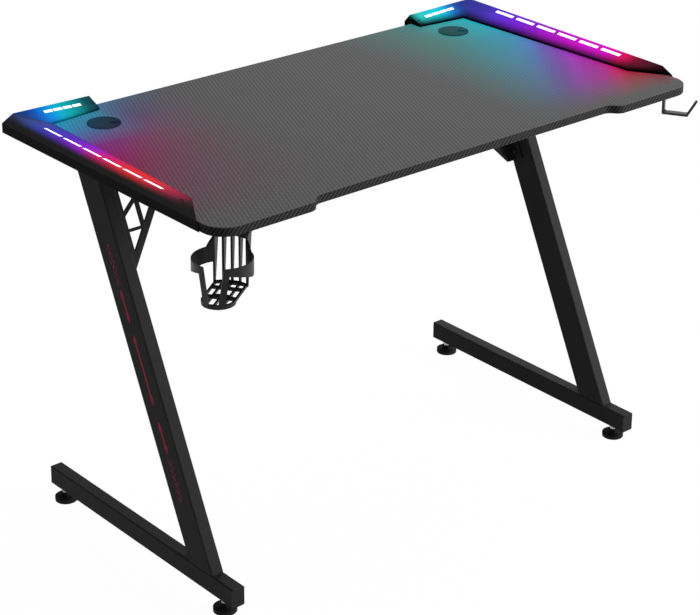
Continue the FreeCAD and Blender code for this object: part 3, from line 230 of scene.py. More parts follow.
def linear(hex_colour):
    """A six-digit sRGB hex colour as linear red, green, blue and a full alpha."""
    channels = [int(hex_colour[k:k + 2], 16) / 255 for k in (0, 2, 4)]
    return [c / 12.92 if c <= 0.04045 else ((c + 0.055) / 1.055) ** 2.4 for c in channels] + [1.0]


def add_node(tree, kind, inputs=None, stops=None, **settings):
    """Adds a node, gives it its settings and colour stops, and sets or links its inputs."""
    node = tree.nodes.new(kind)
    for name, value in settings.items():
        setattr(node, name, value)
    for name, value in (inputs or {}).items():
        if isinstance(value, bpy.types.Node):
            value = value.outputs[0]
        if isinstance(value, bpy.types.NodeSocket):
            tree.links.new(value, node.inputs[name])
        else:
            node.inputs[name].default_value = value
    if stops:
        ramp = node.color_ramp
        while len(ramp.elements) < len(stops):
            ramp.elements.new(1.0)
        for element, (place, colour) in zip(ramp.elements, stops):
            element.position = place
            element.color = linear(colour)
    return node


def new_material(name):
    """An empty node material and its node tree."""
    material = bpy.data.materials.new(name)
    material.use_nodes = True
    material.node_tree.nodes.clear()
    return material, material.node_tree


def finish_material(tree, inputs):
    """Ends a material in one Principled surface."""
    shader = add_node(tree, "ShaderNodeBsdfPrincipled", inputs)
    add_node(tree, "ShaderNodeOutputMaterial", {"Surface": shader})


def grain(tree, size, contrast):
    """A fine random grain of a real size, as a value about one half."""
    coords = add_node(tree, "ShaderNodeTexCoord")
    noise = add_node(tree, "ShaderNodeTexNoise", {"Vector": coords.outputs["Object"], "Scale": 1 / size,
                                                  "Detail": 3.0, "Roughness": 0.55})
    spread = 0.5 / contrast
    return add_node(tree, "ShaderNodeMapRange",
                    {"Value": noise.outputs["Fac"], "From Min": 0.5 - spread, "From Max": 0.5 + spread})


def powder_coat(name, dark, light, roughness, specular):
    """Powder-coated steel: an even black with the slight orange peel of baked powder, satin."""
    material, tree = new_material(name)
    peel = grain(tree, 2.2 * MM, 2.0)
    cloud = grain(tree, 60 * MM, 1.6)
    colour = add_node(tree, "ShaderNodeValToRGB", {"Fac": cloud}, stops=((0.0, dark), (1.0, light)))
    gloss = add_node(tree, "ShaderNodeMapRange",
                     {"Value": peel, "To Min": roughness - 0.05, "To Max": roughness + 0.05})
    bump = add_node(tree, "ShaderNodeBump", {"Strength": 0.12, "Distance": 0.2 * MM, "Height": peel})
    finish_material(tree, {"Base Color": colour, "Roughness": gloss, "Normal": bump, "IOR": 1.5,
                           "Specular IOR Level": specular})
    return material


def moulded_grain(tree, size, smooth, rough):
    """The fine spark-eroded grain that a mould leaves: its roughness, and its bump as a normal."""
    grit = grain(tree, size, 2.2)
    gloss = add_node(tree, "ShaderNodeMapRange", {"Value": grit, "To Min": smooth, "To Max": rough})
    bump = add_node(tree, "ShaderNodeBump", {"Strength": 0.1, "Distance": 0.1 * MM, "Height": grit})
    return gloss, bump


def moulded_plastic(name, dark, light, roughness, grit, specular=0.12):
    """Moulded ABS or rubber: black, with the fine grain of its mould."""
    material, tree = new_material(name)
    gloss, bump = moulded_grain(tree, grit, roughness - 0.06, roughness + 0.06)
    cloud = grain(tree, 35 * MM, 1.5)
    colour = add_node(tree, "ShaderNodeValToRGB", {"Fac": cloud}, stops=((0.0, dark), (1.0, light)))
    finish_material(tree, {"Base Color": colour, "Roughness": gloss, "Normal": bump, "IOR": 1.53,
                           "Specular IOR Level": specular})
    return material


def weave_cycles(tree, place, direction, pitch):
    """How many line pitches a point lies along a direction."""
    steps = [part / pitch for part in direction]
    product = add_node(tree, "ShaderNodeVectorMath", {0: place, 1: steps}, operation="DOT_PRODUCT")
    return product.outputs["Value"]


def carbon_laminate():
    """Fibreboard faced with carbon-print laminate: satin grey with fine slanting weave lines.

    The lines run across the faces and lean the other way round the wrapped edge, whose weave is painted
    darker, as painted shade.
    """
    material, tree = new_material("carbon_print_laminate_satin")
    place = add_node(tree, "ShaderNodeTexCoord").outputs["Object"]
    turn = math.radians(WEAVE_TURN_DEGREES)
    across = (math.cos(turn), math.sin(turn), 0)
    along = (-math.sin(turn), math.cos(turn), 0)
    line_count = weave_cycles(tree, place, across, WEAVE_PITCH)
    line = add_node(tree, "ShaderNodeMath", {0: line_count, 1: HALF_PITCH}, operation="PINGPONG")
    index = add_node(tree, "ShaderNodeMath", {0: line_count}, operation="FLOOR")
    stagger = add_node(tree, "ShaderNodeMath", {0: index, 1: TOW_STAGGER}, operation="MULTIPLY")
    tow_count = weave_cycles(tree, place, along, TOW_LENGTH)
    tow_count = add_node(tree, "ShaderNodeMath", {0: tow_count, 1: stagger}, operation="ADD")
    tow = add_node(tree, "ShaderNodeMath", {0: tow_count, 1: HALF_PITCH}, operation="PINGPONG")
    tow = add_node(tree, "ShaderNodeMath", {0: tow, 1: TOW_SHARE}, operation="MULTIPLY")
    face_line = add_node(tree, "ShaderNodeMath", {0: line, 1: tow}, operation="ADD")
    face_colour = add_node(tree, "ShaderNodeValToRGB", {"Fac": face_line},
                           stops=((0.05, "4c4c4c"), (0.28, "5a5a5a"), (0.6, "666666")))

    parts = add_node(tree, "ShaderNodeSeparateXYZ", {0: place})
    from_middle = add_node(tree, "ShaderNodeMath", {0: parts.outputs[0], 1: BOARD_MIDDLE.x},
                           operation="SUBTRACT")
    half = add_node(tree, "ShaderNodeMath", {0: from_middle}, operation="SIGN")
    from_front = add_node(tree, "ShaderNodeMath", {0: parts.outputs[1], 1: BOARD_LOW.y}, operation="SUBTRACT")
    reach = add_node(tree, "ShaderNodeMath", {0: from_middle}, operation="ABSOLUTE")
    turning = add_node(tree, "ShaderNodeMapRange", {"Value": reach, "From Min": CORNER_REACH - MM,
                                                    "From Max": CORNER_REACH, "To Min": -1.0})
    turning = add_node(tree, "ShaderNodeMath", {0: half, 1: turning}, operation="MULTIPLY")
    round_corner = add_node(tree, "ShaderNodeMath", {0: turning, 1: from_front}, operation="MULTIPLY")
    along_edge = add_node(tree, "ShaderNodeMath", {0: from_middle, 1: round_corner}, operation="ADD")
    slant = add_node(tree, "ShaderNodeMath", {0: along_edge, 1: parts.outputs[2]}, operation="SUBTRACT")
    edge_count = add_node(tree, "ShaderNodeMath", {0: slant, 1: EDGE_WEAVE_PITCH * math.sqrt(2)},
                          operation="DIVIDE")
    edge_line = add_node(tree, "ShaderNodeMath", {0: edge_count, 1: HALF_PITCH}, operation="PINGPONG")
    # Painted shade: the edge faces get the weave in darker colours than the top.
    edge_weave_and_painted_shade = add_node(tree, "ShaderNodeValToRGB", {"Fac": edge_line},
                           stops=((0.1, "1c1c1c"), (0.4, "3f3f3f")))

    normal = add_node(tree, "ShaderNodeNewGeometry").outputs["True Normal"]
    rise = add_node(tree, "ShaderNodeSeparateXYZ", {0: normal}).outputs[2]
    level = add_node(tree, "ShaderNodeMath", {0: rise}, operation="ABSOLUTE")
    is_face = add_node(tree, "ShaderNodeMath", {0: level, 1: FACE_RISE}, operation="GREATER_THAN")
    colour = add_node(tree, "ShaderNodeMix", {"Factor": is_face, 6: edge_weave_and_painted_shade, 7: face_colour},
                      data_type="RGBA")
    # Painted lamp light on the top: its base colour is darkened toward black and the lamp colours are painted
    # in as emission.
    lamp_colour, lamp_share = board_light(tree, place, parts)
    is_top = add_node(tree, "ShaderNodeMath", {0: rise, 1: FACE_RISE}, operation="GREATER_THAN")
    lit = add_node(tree, "ShaderNodeMath", {0: is_top, 1: lamp_share}, operation="MULTIPLY")
    base_darkened_under_painted_light = add_node(tree, "ShaderNodeMix", {"Factor": lit, 6: colour.outputs[2], 7: linear("000000")},
                     data_type="RGBA")
    woven = add_node(tree, "ShaderNodeMapRange", {"Value": face_line, "From Max": 0.6, "To Min": 0.82,
                                                  "To Max": 1.15})
    glow = add_node(tree, "ShaderNodeMath", {0: lit, 1: woven}, operation="MULTIPLY")
    relief = add_node(tree, "ShaderNodeMix", {"Factor": is_face, 2: edge_line, 3: face_line})
    bump = add_node(tree, "ShaderNodeBump", {"Strength": 0.25, "Distance": 0.15 * MM, "Height": relief})
    speck = grain(tree, 3 * MM, 1.5)
    gloss = add_node(tree, "ShaderNodeMapRange", {"Value": speck, "To Min": 0.55, "To Max": 0.65})
    finish_material(tree, {"Base Color": base_darkened_under_painted_light.outputs[2], "Roughness": gloss, "Normal": bump, "IOR": 1.5,
                           "Specular IOR Level": 0.02,
                           "Emission Color": lamp_colour, "Emission Strength": glow})
    return material


def side_light(tree, place, parts, side_name):
    """The painted lamp light that one housing throws on the board: its colour, and its share of what is seen.
    """
    side, light = SIDES[side_name], BOARD_LIGHT[side_name]
    lip_x = BOARD_MIDDLE.x + side * LONG_LIP_X
    near = add_node(tree, "ShaderNodeMapRange", {"Value": parts.outputs[0], "From Max": lip_x,
                                                 "From Min": lip_x - side * light["reach"]})
    falling = add_node(tree, "ShaderNodeMath", {0: near, 1: light["fall"]}, operation="POWER")
    fade_from, fade_to = (BOARD_MIDDLE.y + y for y in light["fade"])
    fading = add_node(tree, "ShaderNodeMapRange", {"Value": parts.outputs[1], "From Min": fade_from,
                                                   "From Max": fade_to, "To Max": BOARD_LIGHT_PEAK})
    long_share = add_node(tree, "ShaderNodeMath", {0: falling, 1: fading}, operation="MULTIPLY")
    slanted = add_node(tree, "ShaderNodeVectorMath", {0: place, 1: (-side * light["slant"], 1, 0)},
                       operation="DOT_PRODUCT")
    front = BOARD_LOW.y - side * light["slant"] * lip_x
    along = add_node(tree, "ShaderNodeMapRange", {"Value": slanted.outputs["Value"], "From Min": front,
                                                  "From Max": front + BOARD_LIGHT_LENGTH})
    long_colour = add_node(tree, "ShaderNodeValToRGB", {"Fac": along}, stops=light["stops"])
    lip_y = BOARD_HIGH.y - SHORT_LIP_Y
    short_near = add_node(tree, "ShaderNodeMapRange", {"Value": parts.outputs[1], "From Max": lip_y,
                                                       "From Min": lip_y - SHORT_LIGHT_REACH})
    inner, outer = (BOARD_MIDDLE.x + side * x for x in SHORT_LIGHT_SPAN)
    short_fade = add_node(tree, "ShaderNodeMapRange", {"Value": parts.outputs[0], "From Min": inner,
                                                       "From Max": outer, "To Max": SHORT_LIGHT_PEAK},
                          interpolation_type="SMOOTHSTEP")
    short_share = add_node(tree, "ShaderNodeMath", {0: short_near, 1: short_fade}, operation="MULTIPLY")
    short_colour = linear(light["short"])
    colour = add_node(tree, "ShaderNodeMix", {"Factor": short_share, 6: long_colour, 7: short_colour},
                      data_type="RGBA")
    share = add_node(tree, "ShaderNodeMath", {0: long_share, 1: short_share}, operation="MAXIMUM")
    return colour.outputs[2], share


def board_light(tree, place, parts):
    """The painted lamp light on the whole board, from both housings."""
    left_colour, left_share = side_light(tree, place, parts, "left")
    right_colour, right_share = side_light(tree, place, parts, "right")
    is_right = add_node(tree, "ShaderNodeMath", {0: parts.outputs[0], 1: BOARD_MIDDLE.x},
                        operation="GREATER_THAN")
    colour = add_node(tree, "ShaderNodeMix", {"Factor": is_right, 6: left_colour, 7: right_colour},
                      data_type="RGBA")
    share = add_node(tree, "ShaderNodeMath", {0: left_share, 1: right_share}, operation="MAXIMUM")
    return colour.outputs[2], share


def glow_ramps(tree, side_name):
    """The lamp colours along a housing's arms, by depth on the long arm and by width on the short one.

    Gives the mixed colour, a value that is one on the short arm, and the place in its three parts.
    """
    side = SIDES[side_name]
    place = add_node(tree, "ShaderNodeTexCoord").outputs["Object"]
    parts = add_node(tree, "ShaderNodeSeparateXYZ", {0: place})
    depth = add_node(tree, "ShaderNodeMapRange", {"Value": parts.outputs[1], "From Min": BOARD_LOW.y,
                                                  "From Max": BOARD_HIGH.y})
    far_x = BOARD_HIGH.x if side > 0 else BOARD_LOW.x
    width = add_node(tree, "ShaderNodeMapRange", {"Value": parts.outputs[0], "From Max": far_x,
                                                  "From Min": far_x - side * SHORT_ARM_SPAN})
    long_colour = add_node(tree, "ShaderNodeValToRGB", {"Fac": depth}, stops=LONG_GLOW[side_name])
    short_colour = add_node(tree, "ShaderNodeValToRGB", {"Fac": width}, stops=SHORT_GLOW[side_name])
    lip = Vector((BOARD_MIDDLE.x + side * LONG_LIP_X, BOARD_HIGH.y - SHORT_LIP_Y, 0))
    from_lip = add_node(tree, "ShaderNodeVectorMath", {0: place, 1: lip}, operation="SUBTRACT")
    across_mitre = (-side / MITRE_RUN.x, 1 / MITRE_RUN.y, 0)
    past_mitre = add_node(tree, "ShaderNodeVectorMath", {0: from_lip, 1: across_mitre},
                          operation="DOT_PRODUCT")
    is_short = add_node(tree, "ShaderNodeMapRange",
                        {"Value": past_mitre.outputs["Value"], "From Min": -MITRE_SOFTNESS,
                         "From Max": MITRE_SOFTNESS}, interpolation_type="SMOOTHSTEP")
    colour = add_node(tree, "ShaderNodeMix", {"Factor": is_short, 6: long_colour, 7: short_colour},
                      data_type="RGBA")
    return colour.outputs[2], is_short, parts


def lit_housing_abs(side_name):
    """Moulded black ABS with painted lamp glow, as emission in the lamp colours: strongest at the ridge,
    faint or gone at the foot.

    Its outer faces are a greyer black than the inner slopes, and are painted lighter still where they face
    upward, as painted light.
    """
    side = SIDES[side_name]
    material, tree = new_material(side_name + "_housing_moulded_abs")
    colour, is_short, parts = glow_ramps(tree, side_name)
    height = add_node(tree, "ShaderNodeMapRange",
                      {"Value": parts.outputs[2], "From Min": BOARD_TOP, "From Max": RIDGE_Z})
    start, full = GLOW_RISE[side_name]
    inner = add_node(tree, "ShaderNodeMapRange", {"Value": height, "From Min": start, "From Max": full},
                     interpolation_type="SMOOTHSTEP")
    start, full = OUTER_GLOW_RISE
    outer = add_node(tree, "ShaderNodeMapRange", {"Value": height, "From Min": start, "From Max": full},
                     interpolation_type="SMOOTHSTEP")
    normal = add_node(tree, "ShaderNodeNewGeometry").outputs["Normal"]
    across, along, upward = add_node(tree, "ShaderNodeSeparateXYZ", {0: normal}).outputs
    long_facing = add_node(tree, "ShaderNodeMath", {0: across, 1: -side}, operation="MULTIPLY")
    short_facing = add_node(tree, "ShaderNodeMath", {0: along, 1: -1}, operation="MULTIPLY")
    facing = add_node(tree, "ShaderNodeMix", {"Factor": is_short, 2: long_facing, 3: short_facing})
    is_inner = add_node(tree, "ShaderNodeMath", {0: facing, 1: INNER_FACING}, operation="GREATER_THAN")
    strength = add_node(tree, "ShaderNodeMix", {"Factor": is_inner, 2: outer, 3: inner})
    outward = add_node(tree, "ShaderNodeMath", {0: across, 1: side}, operation="MULTIPLY")
    is_outer_face = add_node(tree, "ShaderNodeMath", {0: outward, 1: OUTER_FACING}, operation="GREATER_THAN")
    # Painted light: outer faces are painted a lighter grey the more they face upward.
    upward_painted_light = add_node(tree, "ShaderNodeMapRange", {"Value": upward, "From Min": 0.05, "From Max": 0.3})
    grey = add_node(tree, "ShaderNodeValToRGB", {"Fac": upward_painted_light}, stops=((0.0, "292929"), (1.0, "3e3e3e")))
    black = add_node(tree, "ShaderNodeMix", {"Factor": is_outer_face, 6: linear("0a0a0b"), 7: grey},
                     data_type="RGBA")
    gloss, bump = moulded_grain(tree, 1.5 * MM, 0.5, 0.6)
    finish_material(tree, {"Base Color": black.outputs[2], "Roughness": gloss, "Normal": bump, "IOR": 1.53,
                           "Specular IOR Level": 0.005,
                           "Emission Color": colour, "Emission Strength": strength})
    return material


def frosted_lens(side_name):
    """Frosted acrylic with lamps behind it: almost white, tinted by the lamp colour."""
    material, tree = new_material(side_name + "_lens_frosted_acrylic")
    colour = glow_ramps(tree, side_name)[0]
    frost = grain(tree, 2 * MM, 1.5)
    whiteness = add_node(tree, "ShaderNodeMapRange", {"Value": frost, "To Min": 0.8, "To Max": 0.88})
    pale = add_node(tree, "ShaderNodeMix", {"Factor": whiteness, 6: colour, 7: linear("ffffff")},
                    data_type="RGBA")
    finish_material(tree, {"Base Color": linear("e8e8ee"), "Roughness": 0.35, "IOR": 1.49,
                           "Emission Color": pale.outputs[2], "Emission Strength": 1.05})
    return material


def grommet_abs():
    """Moulded black ABS of the cable grommets: finely grained, with the board's lamp light painted on as
    emission.
    """
    material, tree = new_material("grommet_moulded_abs")
    place = add_node(tree, "ShaderNodeTexCoord").outputs["Object"]
    parts = add_node(tree, "ShaderNodeSeparateXYZ", {0: place})
    lamp_colour, lamp_share = board_light(tree, place, parts)
    # Painted lamp light: a share of the board's painted lamp light glows on the grommets.
    glow = add_node(tree, "ShaderNodeMath", {0: lamp_share, 1: GROMMET_PAINTED_LIGHT}, operation="MULTIPLY")
    gloss, bump = moulded_grain(tree, 1.2 * MM, 0.45, 0.6)
    finish_material(tree, {"Base Color": linear("09090a"), "Roughness": gloss, "Normal": bump, "IOR": 1.53,
                           "Specular IOR Level": 0.01,
                           "Emission Color": lamp_colour, "Emission Strength": glow})
    return material


def plated_steel():
    """Zinc-plated steel: a dull silver with faint streaks from the bath."""
    material, tree = new_material("zinc_plated_steel")
    streak = grain(tree, 1.2 * MM, 1.6)
    colour = add_node(tree, "ShaderNodeValToRGB", {"Fac": streak}, stops=((0.0, "9a9a9c"), (1.0, "c2c2c4")))
    gloss = add_node(tree, "ShaderNodeMapRange", {"Value": streak, "To Min": 0.28, "To Max": 0.45})
    finish_material(tree, {"Base Color": colour, "Metallic": 1.0, "Roughness": gloss})
    return material


def black_oxide_steel():
    """Black-oxide screw steel: dark, with a slight metal sheen on its edges."""
    material, tree = new_material("black_oxide_steel")
    speck = grain(tree, 0.8 * MM, 1.8)
    colour = add_node(tree, "ShaderNodeValToRGB", {"Fac": speck}, stops=((0.0, "2a2a2b"), (1.0, "3c3c3e")))
    finish_material(tree, {"Base Color": colour, "Metallic": 0.8, "Roughness": 0.42})
    return material


def solder_mask():
    """White solder mask on a lamp strip: a slightly glossy lacquer."""
    material, tree = new_material("white_solder_mask_board")
    speck = grain(tree, 4 * MM, 1.4)
    colour = add_node(tree, "ShaderNodeValToRGB", {"Fac": speck}, stops=((0.0, "d8d8d2"), (1.0, "ecece8")))
    finish_material(tree, {"Base Color": colour, "Roughness": 0.35, "IOR": 1.5})
    return material


def stripe_ink():
    """Screen-printed ink on powder coat: a dull red, thin enough to look slightly uneven."""
    material, tree = new_material("screen_printed_red_ink")
    patch = grain(tree, 5 * MM, 1.5)
    colour = add_node(tree, "ShaderNodeValToRGB", {"Fac": patch}, stops=((0.0, "a62a46"), (1.0, "ba3450")))
    finish_material(tree, {"Base Color": colour, "Roughness": 0.5, "IOR": 1.5, "Specular IOR Level": 0.06})
    return material


MATERIALS = {
    "carbon_laminate_board": carbon_laminate(),
    "powder_coated_steel": powder_coat("powder_coated_steel_black", "2a2a2a", "303031", 0.42, 0.024),
    "hook_steel": powder_coat("hook_powder_coated_steel", "222222", "2c2c2c", 0.42, 0.3),
    "black_plastic": moulded_plastic("cap_moulded_abs", "141414", "1c1c1d", 0.5, 1.5 * MM),
    "cup_plastic": moulded_plastic("cup_moulded_abs", "111111", "171718", 0.38, 1.2 * MM, 0.22),
    "grommet_plastic": grommet_abs(),
    "foot_rubber": moulded_plastic("foot_moulded_rubber", "101010", "171717", 0.7, 1.8 * MM),
    "plated_steel": plated_steel(),
    "black_screw_steel": black_oxide_steel(),
    "led_board": solder_mask(),
}
HOUSING_ABS = {side: lit_housing_abs(side) for side in SIDES}
LENS_ACRYLIC = {side: frosted_lens(side) for side in SIDES}
STRIPE_INK = stripe_ink()
NODE_SLOTS = {part["node"]: part["material_slot"] for part in frame["record"]["subparts"]}


def node_material(node):
    """The finish of a CAD node: that of its slot, but of its side for lit pieces, and one for grommets."""
    side = node.split("_")[0]
    if NODE_SLOTS[node] == "housing_plastic":
        return HOUSING_ABS[side]
    if NODE_SLOTS[node] == "frosted_lens":
        return LENS_ACRYLIC[side]
    if "grommet" in node:
        return MATERIALS["grommet_plastic"]
    return MATERIALS[NODE_SLOTS[node]]


def paint_nodes():
    """Gives every CAD node its finish."""
    for name, node in frame["nodes"].items():
        node.data.materials.clear()
        node.data.materials.append(node_material(name))


def add_piece(name, mesh_source, material, body):
    """A new piece from a bmesh, in place, riding on a body."""
    mesh = bpy.data.meshes.new(name)
    mesh_source.to_mesh(mesh)
    mesh_source.free()
    mesh.materials.append(material)
    piece = bpy.data.objects.new(name, mesh)
    bpy.context.scene.collection.objects.link(piece)
    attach(piece, body)
    return piece


def softened(node, width, segments):
    """A merged copy of a CAD node with its edges slightly rounded, which stands for it."""
    source = frame["nodes"][node]
    bm = bmesh.new()
    bm.from_mesh(source.data)
    bmesh.ops.remove_doubles(bm, verts=bm.verts, dist=MERGE_DISTANCE)
    bmesh.ops.dissolve_limit(bm, angle_limit=math.radians(FLAT_DEGREES), verts=bm.verts, edges=bm.edges)
    for face in bm.faces:
        face.smooth = True
    piece = add_piece("soft_" + node, bm, node_material(node), body_of(source)[0])
    piece.data.set_sharp_from_angle(angle=math.radians(SMOOTH_DEGREES))
    bevel = piece.modifiers.new("eased edges", "BEVEL")
    bevel.width = width
    bevel.segments = segments
    bevel.limit_method = "ANGLE"
    bevel.angle_limit = math.radians(SMOOTH_DEGREES)
    flat = piece.modifiers.new("flat faces shaded flat", "WEIGHTED_NORMAL")
    flat.keep_sharp = True
    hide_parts(node)


def solid_boxes(node):
    """The low and high corners of each separate solid in a CAD node."""
    bm = bmesh.new()
    bm.from_mesh(frame["nodes"][node].data)
    bmesh.ops.remove_doubles(bm, verts=bm.verts, dist=MERGE_DISTANCE)
    waiting = set(bm.verts)
    boxes = []
    while waiting:
        group = [waiting.pop()]
        for vert in group:
            joined = {edge.other_vert(vert) for edge in vert.link_edges} & waiting
            waiting -= joined
            group += joined
        boxes.append([Vector(pick(v.co[k] for v in group) for k in range(3)) for pick in (min, max)])
    bm.free()
    return boxes


def lathe(bm, outline, steps, turn):
    """Spins an outline of (radius, along) points in millimetres into a closed solid, then places it."""
    before = set(bm.verts)
    verts = [bm.verts.new((radius * MM, 0, along * MM)) for radius, along in outline]
    edges = [bm.edges.new(pair) for pair in zip(verts, verts[1:])]
    bmesh.ops.spin(bm, geom=verts + edges, axis=(0, 0, 1), cent=(0, 0, 0), steps=steps, angle=2 * math.pi,
                   use_merge=True)
    made = [v for v in bm.verts if v not in before]
    bmesh.ops.remove_doubles(bm, verts=made, dist=MERGE_DISTANCE)
    bmesh.ops.transform(bm, matrix=turn, verts=[v for v in bm.verts if v not in before])


def threaded(radius, depth, pitch, low, high):
    """The outline of a threaded shank between two heights, as ridges that run round it."""
    count = round((high - low) / pitch)
    step = (high - low) / count
    return [point for k in range(count)
            for point in ((radius - depth, low + k * step), (radius, low + (k + 0.5) * step))]


def hexagon(bm, flats, low, high, chamfers, turn):
    """A hexagon head or collar of a size across its flats, between two heights, chamfered at both ends."""
    corner = flats / 2 / math.cos(math.pi / HEXAGON_STEPS)
    (low_in, low_along), (high_in, high_along) = chamfers
    lathe(bm, [(0, low), (corner - low_in, low), (corner, low + low_along), (corner, high - high_along),
               (corner - high_in, high), (0, high)], HEXAGON_STEPS, turn)


def pan_screw(bm, length, turn):
    """A pan-head screw with a round socket, its head above zero and its thread below."""
    shank = threaded(*SCREW_THREAD, SCREW_POINT - length, -SCREW_NECK)
    lathe(bm, [(0, -length), *shank, *SCREW_HEAD], ROUND_STEPS, turn)


def hexagon_bolt(bm, length, turn):
    """A hexagon bolt with a chamfered head above zero and its thread below."""
    hexagon(bm, BOLT_FLATS, 0, BOLT_SEAT, BOLT_CHAMFERS, turn)
    shank = threaded(*BOLT_THREAD, BOLT_POINT - length, -BOLT_NECK)
    lathe(bm, [(0, -length), (BOLT_POINT_RADIUS, -length), *shank, *BOLT_NECK_OUTLINE], ROUND_STEPS, turn)


def foot_stud(bm, length, turn):
    """A levelling stud: a hexagon collar below zero and a threaded rod above.

    The rod is given the 9 mm under the seat and not the 17 mm above it, so it ends 8 mm below the CAD rod.
    """
    hexagon(bm, STUD_FLATS, -STUD_COLLAR_HEIGHT, 0, STUD_CHAMFERS, turn)
    radius = STUD_THREAD[0]
    rod = threaded(*STUD_THREAD, STUD_NECK, length - STUD_POINT)
    lathe(bm, [(0, 0), (radius, 0), *rod, (STUD_POINT_RADIUS, length), (0, length)], ROUND_STEPS, turn)


def fastened(node, build, axis, seat):
    """Detailed fasteners in place of the few-sided ones of a node.

    The axis points out of the head of a screw or bolt, and along the rod of a stud. The seat is how far the
    underside of the head, or the top of the collar, lies from that end of the solid.
    """
    bm = bmesh.new()
    for low, high in solid_boxes(node):
        middle = (low + high) / 2
        way = axis(middle)
        half = abs((high - low).dot(way)) / 2
        place = middle + way * (half - seat)
        turn = Matrix.Translation(place) @ way.to_track_quat("Z", "Y").to_matrix().to_4x4()
        build(bm, (2 * half - seat) / MM, turn)
    bmesh.ops.recalc_face_normals(bm, faces=bm.faces)
    for face in bm.faces:
        face.smooth = True
    piece = add_piece("detailed_" + node, bm, node_material(node), body_of(frame["nodes"][node])[0])
    piece.data.set_sharp_from_angle(angle=math.radians(SMOOTH_DEGREES))
    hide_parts(node)


def build_fasteners():
    """All screws, bolts and studs."""
    up, down = Vector((0, 0, 1)), Vector((0, 0, -1))
    for side in SIDES:
        fastened(f"{side}_housing_screws", pan_screw, lambda middle: up, SCREW_SEAT * MM)
        fastened(f"{side}_desktop_screws", pan_screw, lambda middle: down, SCREW_SEAT * MM)
        for end in ("front", "back"):
            fastened(f"{side}_{end}_foot_stud", foot_stud, lambda middle: up, STUD_SEAT * MM)
    for node in ("cup_holder_screws", "hook_screws"):
        fastened(node, pan_screw, lambda middle: down, SCREW_SEAT * MM)
    for node in ("beam_bolts", "gusset_bolts"):
        fastened(node, hexagon_bolt, lambda middle: Vector((-1 if middle.x > 0 else 1, 0, 0)), BOLT_SEAT * MM)


def leg_point(side, across, height):
    """A point on the outer face of an upright: across its breadth, at a height."""
    low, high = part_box(f"{side}_upright")
    lean = math.radians(UPRIGHT_LEAN_DEGREES)
    breadth = (high.y - low.y) - (high.z - low.z) * math.tan(lean)
    y = low.y + breadth / 2 + (height - low.z) * math.tan(lean)
    x = high.x if side == "right" else low.x
    return Vector((x, y + across * math.cos(lean), height - across * math.sin(lean)))


def print_patch(bm, side, outline):
    """A thin patch of ink on an upright, from an outline of (across, height) points."""
    lower = [bm.verts.new(leg_point(side, across, height)) for across, height in outline]
    face = bm.faces.new(lower)
    moved = bmesh.ops.extrude_face_region(bm, geom=[face])
    verts = [v for v in moved["geom"] if isinstance(v, bmesh.types.BMVert)]
    bmesh.ops.translate(bm, verts=verts, vec=(SIDES[side] * PRINT_THICKNESS, 0, 0))


def stripe(side):
    """The printed stripe of an upright: chevrons, three dashes with pointed ends, chevrons."""
    bm = bmesh.new()
    half, wide, tip = DASH_HALF_WIDTH, DASH_TIP_HALF_WIDTH, DASH_TIP_LENGTH
    for top_mm, bottom_mm in DASH_HEIGHTS:
        top, bottom = top_mm * MM, bottom_mm * MM
        print_patch(bm, side, [(-wide, bottom + tip), (0, bottom), (wide, bottom + tip),
                               (half, bottom + 2 * tip), (half, top - 2 * tip), (wide, top - tip), (0, top),
                               (-wide, top - tip), (-half, top - 2 * tip), (-half, bottom + 2 * tip)])
    arm, rise, thick = CHEVRON_HALF_WIDTH, CHEVRON_RISE, CHEVRON_THICKNESS
    for top_mm, bottom_mm, points_up in CHEVRON_HEIGHTS:
        step = (top_mm - bottom_mm) * MM / CHEVRON_COUNT
        for k in range(CHEVRON_COUNT):
            low = bottom_mm * MM + k * step
            ends, point = (low, low + rise) if points_up else (low + rise, low)
            print_patch(bm, side, [(-arm, ends), (0, point), (arm, ends), (arm, ends + thick),
                                   (0, point + thick), (-arm, ends + thick)])
    bmesh.ops.recalc_face_normals(bm, faces=bm.faces)
    piece = add_piece(f"{side}_printed_stripe", bm, STRIPE_INK, "frame")


def add_lamp(name, place, aim, size, watts):
    """A white rectangular lamp at a place, turned to its aim and hidden from the camera."""
    data = bpy.data.lights.new(name, "AREA")
    data.shape = "RECTANGLE"
    data.size, data.size_y = size
    data.energy = watts
    lamp = bpy.data.objects.new(name, data)
    lamp.location = place
    lamp.rotation_euler = (aim - place).to_track_quat("-Z", "Y").to_euler()
    lamp.visible_camera = False
    bpy.context.scene.collection.objects.link(lamp)


def build_floor():
    """A wide pale floor that shows white and keeps a soft shadow."""
    material, tree = new_material("white_studio_floor")
    path = add_node(tree, "ShaderNodeLightPath").outputs
    seen = add_node(tree, "ShaderNodeMath", {0: path["Is Camera Ray"], 1: path["Is Glossy Ray"]},
                    operation="MAXIMUM")
    seen = add_node(tree, "ShaderNodeMath", {0: seen, 1: path["Is Transmission Ray"]}, operation="MAXIMUM")
    share = add_node(tree, "ShaderNodeMath", {0: seen, 1: FLOOR_WHITE_SHARE}, operation="MULTIPLY")
    matt = add_node(tree, "ShaderNodeBsdfDiffuse", {"Color": linear("cccccc")})
    white = add_node(tree, "ShaderNodeEmission", {"Color": linear("ffffff"), "Strength": FLOOR_GLOW})
    mixed = add_node(tree, "ShaderNodeMixShader", {0: share, 1: matt, 2: white})
    add_node(tree, "ShaderNodeOutputMaterial", {"Surface": mixed})
    bm = bmesh.new()
    bmesh.ops.create_grid(bm, x_segments=1, y_segments=1, size=FLOOR_SIZE / 2)
    mesh = bpy.data.meshes.new("studio_floor")
    bm.to_mesh(mesh)
    bm.free()
    mesh.materials.append(material)
    floor = bpy.data.objects.new("studio_floor", mesh)
    bpy.context.scene.collection.objects.link(floor)


